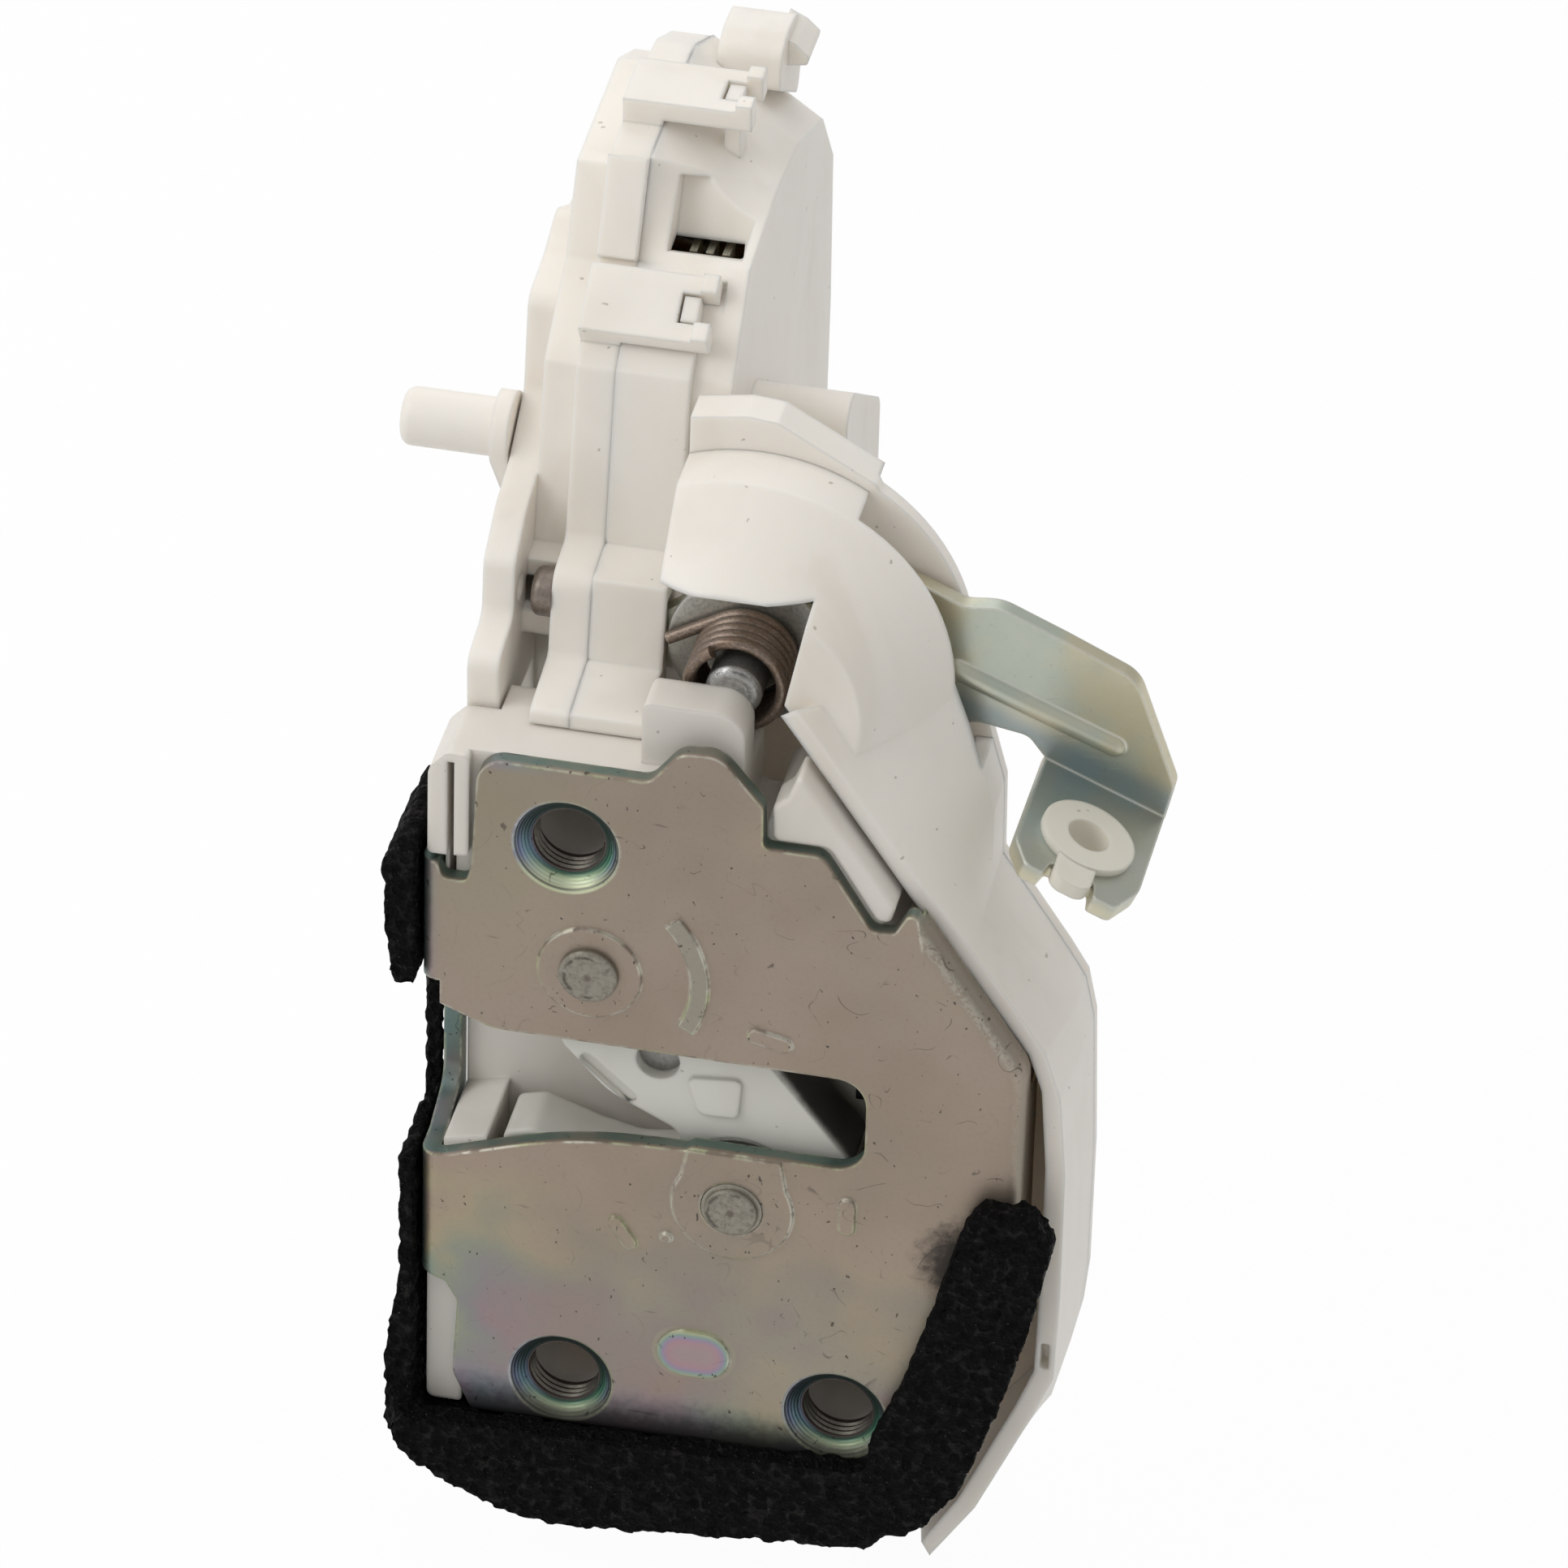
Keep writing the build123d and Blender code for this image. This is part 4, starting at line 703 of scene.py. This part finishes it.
def wind(name, centre, profile, pitch, turns, y, steps, start=0.0):
    """Profile of (radius, along) points wound round an axis along the depth."""
    bpy.ops.object.select_all(action="DESELECT")
    bpy.ops.mesh.primitive_circle_add(vertices=len(profile), radius=1.0, fill_type="NOTHING")
    piece = bpy.context.object
    piece.name = name
    bpy.ops.object.mode_set(mode="EDIT")
    mesh = bmesh.from_edit_mesh(piece.data)
    turn = Matrix.Rotation(-start, 3, "Y")
    for vertex, (radius, along) in zip(mesh.verts, profile):
        vertex.co = turn @ Vector((radius * MM, along * MM, 0.0))
    bmesh.update_edit_mesh(piece.data)
    bpy.ops.object.mode_set(mode="OBJECT")
    piece.location = (centre[0] * MM, y * MM, centre[1] * MM)
    screw = piece.modifiers.new("turns", "SCREW")
    screw.axis = "Y"
    screw.angle = math.tau
    screw.screw_offset = pitch * MM
    screw.iterations = turns
    screw.steps = steps
    screw.render_steps = steps
    screw.use_merge_vertices = False
    apply_all(piece)
    return piece


def close_ends(piece):
    """Caps the open rings of a wound piece and points its faces outwards."""
    pick(piece)
    bpy.ops.object.mode_set(mode="EDIT")
    bpy.ops.mesh.select_all(action="DESELECT")
    bpy.ops.mesh.select_non_manifold(extend=False, use_wire=False, use_boundary=True,
                                     use_multi_face=False, use_non_contiguous=False,
                                     use_verts=False)
    bpy.ops.mesh.edge_face_add()
    bpy.ops.mesh.select_all(action="SELECT")
    bpy.ops.mesh.normals_make_consistent(inside=False)
    bpy.ops.object.mode_set(mode="OBJECT")


def ring_profile(radius, wire, count=12):
    """Section of a round wire at this radius from the axis."""
    angles = [math.tau * k / count for k in range(count)]
    return [(radius + wire * math.cos(angle), wire * math.sin(angle)) for angle in angles]


def wound_spring(name, centre, radius, wire, y0, y1, turns, leg):
    """Close-wound coil whose first turn runs out into a straight leg."""
    reach = math.hypot(*leg)
    start = math.atan2(leg[0] / -reach, leg[1] / reach)
    pitch = (y1 - y0 - 2 * wire) / turns
    ring = ring_profile(radius, wire)
    piece = wind(name, centre, ring, -pitch, turns, y1 - wire, COIL_STEPS, start)
    middle = Vector((centre[0] + radius * math.cos(start), y1 - wire,
                     centre[1] + radius * math.sin(start))) * MM
    pick(piece)
    bpy.ops.object.mode_set(mode="EDIT")
    bpy.ops.mesh.select_all(action="DESELECT")
    mesh = bmesh.from_edit_mesh(piece.data)
    for edge in mesh.edges:
        ends = [vertex.co for vertex in edge.verts]
        if edge.is_boundary and all((end - middle).length < wire * MM * 1.1 for end in ends):
            edge.select_set(True)
    bmesh.update_edit_mesh(piece.data)
    run = (leg[0] * MM, 0.0, leg[1] * MM)
    bpy.ops.mesh.extrude_edges_move(TRANSFORM_OT_translate={"value": run})
    bpy.ops.object.mode_set(mode="OBJECT")
    close_ends(piece)
    smooth(piece, 50.0)
    return piece


# One operator for each piece or group of like pieces

def sizes():
    return bpy.context.scene.latch_sizes


def colours():
    return bpy.context.scene.latch_colours


class LATCH_OT_plate(bpy.types.Operator):
    """Zinc-plated base plate and back plate"""
    bl_idname = "latch.plate"
    bl_label = "Plates"

    def execute(self, context):
        edge = sizes().metal_edge
        dress(zinc_material("passivated_zinc", colours(), edge), "base_plate")
        dress(zinc_material("back_zinc", colours(), edge, 0.5), "back_plate")
        return {"FINISHED"}


class LATCH_OT_threads(bpy.types.Operator):
    """Threads in the three fixing collars"""
    bl_idname = "latch.threads"
    bl_label = "Threads"

    def execute(self, context):
        steel = steel_material("thread_steel", THREAD_STEEL, 0.26)
        pitch = sizes().thread_pitch / MM
        root = THREAD_R + 0.1
        crest = THREAD_R - THREAD_TOOTH
        ridge = [(root, -0.45 * pitch), (root, 0.45 * pitch),
                 (crest, 0.05 * pitch), (crest, -0.05 * pitch)]
        for k, centre in enumerate(FIXINGS):
            thread = wind(f"fixing_thread_{k + 1}", centre, ridge, pitch, THREAD_TURNS,
                          THREAD_Y, THREAD_STEPS)
            close_ends(thread)
            smooth(thread, 30.0)
            hand_over(thread, "housing", steel, "zinc_steel")
        return {"FINISHED"}


class LATCH_OT_pockets(bpy.types.Operator):
    """Moulded cups that close the screw holes of the latch body at the back"""
    bl_idname = "latch.pockets"
    bl_label = "Screw pockets"

    def execute(self, context):
        # acetal darkened to 0.8: painted shade inside the screw holes
        plastic = moulded_material("pocket_plastic_shaded", shade(colours().acetal, 0.8),
                                   sizes().plastic_edge, 0.3)
        middle = (POCKET_BACK - POCKET_DEPTH / 2) * MM
        deep = (0.0, (POCKET_DEPTH - POCKET_FLOOR) * MM, 0.0)
        for k, (x, z) in enumerate(FIXINGS):
            clear_selection()
            bpy.ops.mesh.primitive_cylinder_add(
                vertices=POCKET_SIDES, radius=POCKET_R * MM, depth=POCKET_DEPTH * MM,
                rotation=(math.pi / 2, 0.0, 0.0), location=(x * MM, middle, z * MM))
            cup = context.object
            cup.name = f"screw_pocket_{k + 1}"
            apply_all(cup)
            bpy.ops.object.mode_set(mode="EDIT")
            bpy.ops.mesh.select_all(action="DESELECT")
            mesh = bmesh.from_edit_mesh(cup.data)
            for face in mesh.faces:
                face.select_set(face.normal.y < -0.9)
            bmesh.update_edit_mesh(cup.data)
            bpy.ops.mesh.inset(thickness=POCKET_WALL * MM)
            bpy.ops.mesh.extrude_region_move(TRANSFORM_OT_translate={"value": deep})
            bpy.ops.mesh.bevel(offset=POCKET_EDGE * MM, segments=2)
            bpy.ops.mesh.select_all(action="SELECT")
            bpy.ops.mesh.normals_make_consistent(inside=False)
            bpy.ops.object.mode_set(mode="OBJECT")
            smooth(cup)
            hand_over(cup, "housing", plastic, "white_acetal")
        return {"FINISHED"}


class LATCH_OT_rivets(bpy.types.Operator):
    """Two pivot rivets, peened over at the front"""
    bl_idname = "latch.rivets"
    bl_label = "Rivets"

    def execute(self, context):
        steel = steel_material("peened_steel", colours().bright_steel, 0.4, sizes().metal_edge,
                               (CATCH_PIVOT, PAWL_PIVOT))
        dress(steel, "catch_rivet", "pawl_rivet")
        return {"FINISHED"}


class LATCH_OT_latch(bpy.types.Operator):
    """Latch body, catch, pawl and striker bumper"""
    bl_idname = "latch.latch"
    bl_label = "Latch"

    def execute(self, context):
        edge = sizes().plastic_edge
        white = moulded_material("white_moulding", colours().acetal, edge, 0.3, 0.38)
        dress(white, "latch_body")
        grey = moulded_material("catch_moulding", CATCH_GREY, edge, 0.1, 0.36, CATCH_SHADE_PLANE)
        dress(grey, "catch_cover")
        steel = steel_material("catch_steel", CATCH_STEEL, 0.4, sizes().metal_edge)
        dress(steel, "catch_core", "pawl")
        dress(rubber_material("stop_rubber"), "striker_bumper")
        return {"FINISHED"}


class LATCH_OT_springs(bpy.types.Operator):
    """Return springs of the lever, the catch and the pawl"""
    bl_idname = "latch.springs"
    bl_label = "Springs"

    def execute(self, context):
        wire = wire_material("tempered_wire", colours())
        for name, node, *shape in COILS:
            hand_over(wound_spring(name, *shape), "housing", wire, "spring_steel", node)
        return {"FINISHED"}


class LATCH_OT_lever(bpy.types.Operator):
    """Outside handle lever with its shaft, washer and rod clip"""
    bl_idname = "latch.lever"
    bl_label = "Outside lever"

    def execute(self, context):
        edge = sizes().metal_edge
        dress(lever_material("bright_zinc", edge), "outside_lever")
        clip = moulded_material("clip_plastic", CLIP_WHITE, sizes().plastic_edge * 0.7, 0.35)
        dress(clip, "rod_clip")
        shaft = steel_material("shaft_steel", SHAFT_STEEL, 0.26, edge, (LEVER_AXIS,))
        dress(shaft, "handle_spindle", "release_link")
        washer = steel_material("washer_steel", WASHER_STEEL, 0.26, edge, (LEVER_AXIS,))
        dress(washer, "spindle_washer")
        return {"FINISHED"}


class LATCH_OT_covers(bpy.types.Operator):
    """Side cover and rear cover"""
    bl_idname = "latch.covers"
    bl_label = "Covers"

    def execute(self, context):
        plastic = moulded_material("cover_plastic", colours().natural, sizes().plastic_edge, 0.6)
        dress(plastic, "side_cover", "rear_cover")
        return {"FINISHED"}


class LATCH_OT_case(bpy.types.Operator):
    """Two shells of the actuator case and their screws"""
    bl_idname = "latch.case"
    bl_label = "Case"

    def execute(self, context):
        plastic = moulded_material("case_plastic", colours().natural, sizes().plastic_edge, 0.6)
        dress(plastic, "case_left", "case_right")
        steel = steel_material("screw_steel", SCREW_STEEL, 0.3, sizes().metal_edge)
        dress(steel, "case_screws")
        return {"FINISHED"}


class LATCH_OT_drive(bpy.types.Operator):
    """Motor, worm, wheel, lock lever and cable terminals"""
    bl_idname = "latch.drive"
    bl_label = "Lock drive"

    def execute(self, context):
        edge = sizes().plastic_edge
        dress(moulded_material("gear_plastic", colours().acetal, edge * 0.4, 0.15), "worm_wheel")
        plastic = moulded_material("lever_plastic", colours().natural, edge, 0.35)
        dress(plastic, "lock_lever", "terminal_block")
        can = steel_material("can_steel", CAN_STEEL, 0.3, sizes().metal_edge)
        dress(can, "lock_motor")
        dress(drawn_material("worm_brass", BRASS), "worm")
        dress(drawn_material("tinned_brass", TIN), "connector_terminals")
        return {"FINISHED"}


class LATCH_OT_seal(bpy.types.Operator):
    """Foam seal round the lower plate, with open torn cells"""
    bl_idname = "latch.seal"
    bl_label = "Foam seal"

    def execute(self, context):
        foam = merged_copy("foam_seal", "foam_strip")
        remesh = foam.modifiers.new("cells", "REMESH")
        remesh.mode = "VOXEL"
        remesh.voxel_size = sizes().foam_cell
        apply_all(foam)
        pick(foam)
        bpy.ops.object.mode_set(mode="EDIT")
        mesh = bmesh.from_edit_mesh(foam.data)
        mesh.normal_update()
        depth = sizes().pore_depth
        moved = []
        for vertex in mesh.verts:
            at = vertex.co / MM
            cell = noise.voronoi(at / PORE_SPACING)[0][0]
            lump = noise.fractal(at / LUMP_SPACING, 0.6, 2.0, 3)
            pore = max(0.0, PORE_REACH - cell) * PORE_SHARE
            share = SKIN_SHARE + pore + LUMP_SHARE * max(0.0, lump)
            moved.append(vertex.co - vertex.normal * depth * share)
        for vertex, place in zip(mesh.verts, moved):
            vertex.co = place
        bmesh.update_edit_mesh(foam.data)
        bpy.ops.object.mode_set(mode="OBJECT")
        smooth(foam, 40.0)
        black = foam_material("open_foam", colours())
        hand_over(foam, "housing", black, "black_foam", "foam_seal")
        return {"FINISHED"}


class LATCH_OT_stage(bpy.types.Operator):
    """Pale floor, soft lamps and the camera"""
    bl_idname = "latch.stage"
    bl_label = "Stage"

    def execute(self, context):
        stage = context.scene.latch_stage
        a = stage.azimuth
        e = stage.elevation
        back = Vector((math.sin(a) * math.cos(e), -math.cos(a) * math.cos(e), math.sin(e)))
        level = Vector((math.cos(a), math.sin(a), 0.0))
        upright = back.cross(level)
        right = level * math.cos(stage.roll) + upright * math.sin(stage.roll)
        up = upright * math.cos(stage.roll) - level * math.sin(stage.roll)
        lens = bpy.data.cameras.new("camera")
        lens.lens = stage.lens
        lens.sensor_width = SENSOR_WIDTH
        lens.clip_end = 20.0
        camera = bpy.data.objects.new("camera", lens)
        context.scene.collection.objects.link(camera)
        place = back * stage.distance + right * PICTURE_RIGHT * MM + up * PICTURE_UP * MM
        camera.matrix_world = Matrix((
            (right.x, up.x, back.x, place.x), (right.y, up.y, back.y, place.y),
            (right.z, up.z, back.z, place.z), (0.0, 0.0, 0.0, 1.0)))
        context.scene.camera = camera

        clear_selection()
        low = CAD_BOX[0].z - FLOOR_GAP * MM
        bpy.ops.mesh.primitive_plane_add(size=FLOOR_SIZE, location=(0.0, 0.0, low))
        floor = context.object
        floor.name = "floor"
        apply_all(floor)
        floor.data.materials.append(floor_material())

        world = bpy.data.worlds.new("studio")
        context.scene.world = world
        world.use_nodes = True
        sky = world.node_tree.nodes["Background"].inputs
        sky["Color"].default_value = (1.0, 1.0, 1.0, 1.0)
        sky["Strength"].default_value = WORLD_LEVEL
        middle = (CAD_BOX[0] + CAD_BOX[1]) / 2
        for name, direction, size, strength in LAMPS:
            lamp = bpy.data.lights.new(name, "AREA")
            lamp.size = size
            lamp.energy = strength * stage.light
            holder = bpy.data.objects.new(name, lamp)
            context.scene.collection.objects.link(holder)
            holder.location = middle + Vector(direction).normalized() * LAMP_REACH
            holder.rotation_euler = Vector(direction).to_track_quat("Z", "Y").to_euler()
        context.scene.view_settings.view_transform = "Standard"
        return {"FINISHED"}


def floor_material():
    """Pale floor that the camera sees as white, with a weak shadow of the part."""
    paint = Paint("pale_floor")
    path = paint.node("ShaderNodeLightPath")
    camera, glossy, through = (
        paint.take(path, f"Is {kind} Ray") for kind in ("Camera", "Glossy", "Transmission"))
    seen = paint.maths("MAXIMUM", paint.maths("MAXIMUM", camera, glossy), through)
    matt = paint.node("ShaderNodeBsdfDiffuse", Color=(0.86, 0.86, 0.86))
    bright = paint.node("ShaderNodeEmission", Color=(1.0, 1.0, 1.0), Strength=1.0)
    blend = paint.node("ShaderNodeMixShader", _0=seen * FLOOR_WHITE, _1=paint.take(matt),
                       _2=paint.take(bright))
    paint.tree.links.new(blend.outputs[0], paint.output.inputs[0])
    return paint.material


class LATCH_PT_panel(bpy.types.Panel):
    """The steps and what they can be given"""
    bl_idname = "LATCH_PT_panel"
    bl_label = "Door latch actuator"
    bl_space_type = "VIEW_3D"
    bl_region_type = "UI"
    bl_category = "Latch"

    def draw(self, context):
        for step in STEPS:
            self.layout.operator(step.bl_idname)
        for name in GROUPS:
            group = getattr(context.scene, name)
            box = self.layout.box()
            for key in group.bl_rna.properties.keys():
                if key not in ("rna_type", "name"):
                    box.prop(group, key)


STEPS = (LATCH_OT_stage, LATCH_OT_plate, LATCH_OT_threads, LATCH_OT_pockets, LATCH_OT_rivets,
         LATCH_OT_latch, LATCH_OT_springs, LATCH_OT_lever, LATCH_OT_covers, LATCH_OT_case,
         LATCH_OT_drive, LATCH_OT_seal)
GROUPS = {"latch_sizes": LatchSizes, "latch_colours": LatchColours, "latch_stage": LatchStage}


def register():
    for group in (*GROUPS.values(), *STEPS, LATCH_PT_panel):
        bpy.utils.register_class(group)
    for key, group in GROUPS.items():
        setattr(bpy.types.Scene, key, bpy.props.PointerProperty(type=group))


def unregister():
    for key in GROUPS:
        delattr(bpy.types.Scene, key)
    for group in reversed((*GROUPS.values(), *STEPS, LATCH_PT_panel)):
        bpy.utils.unregister_class(group)


def main():
    register()
    for step in STEPS:
        family, name = step.bl_idname.split(".")
        getattr(getattr(bpy.ops, family), name)()


if __name__ == "__main__":
    main()
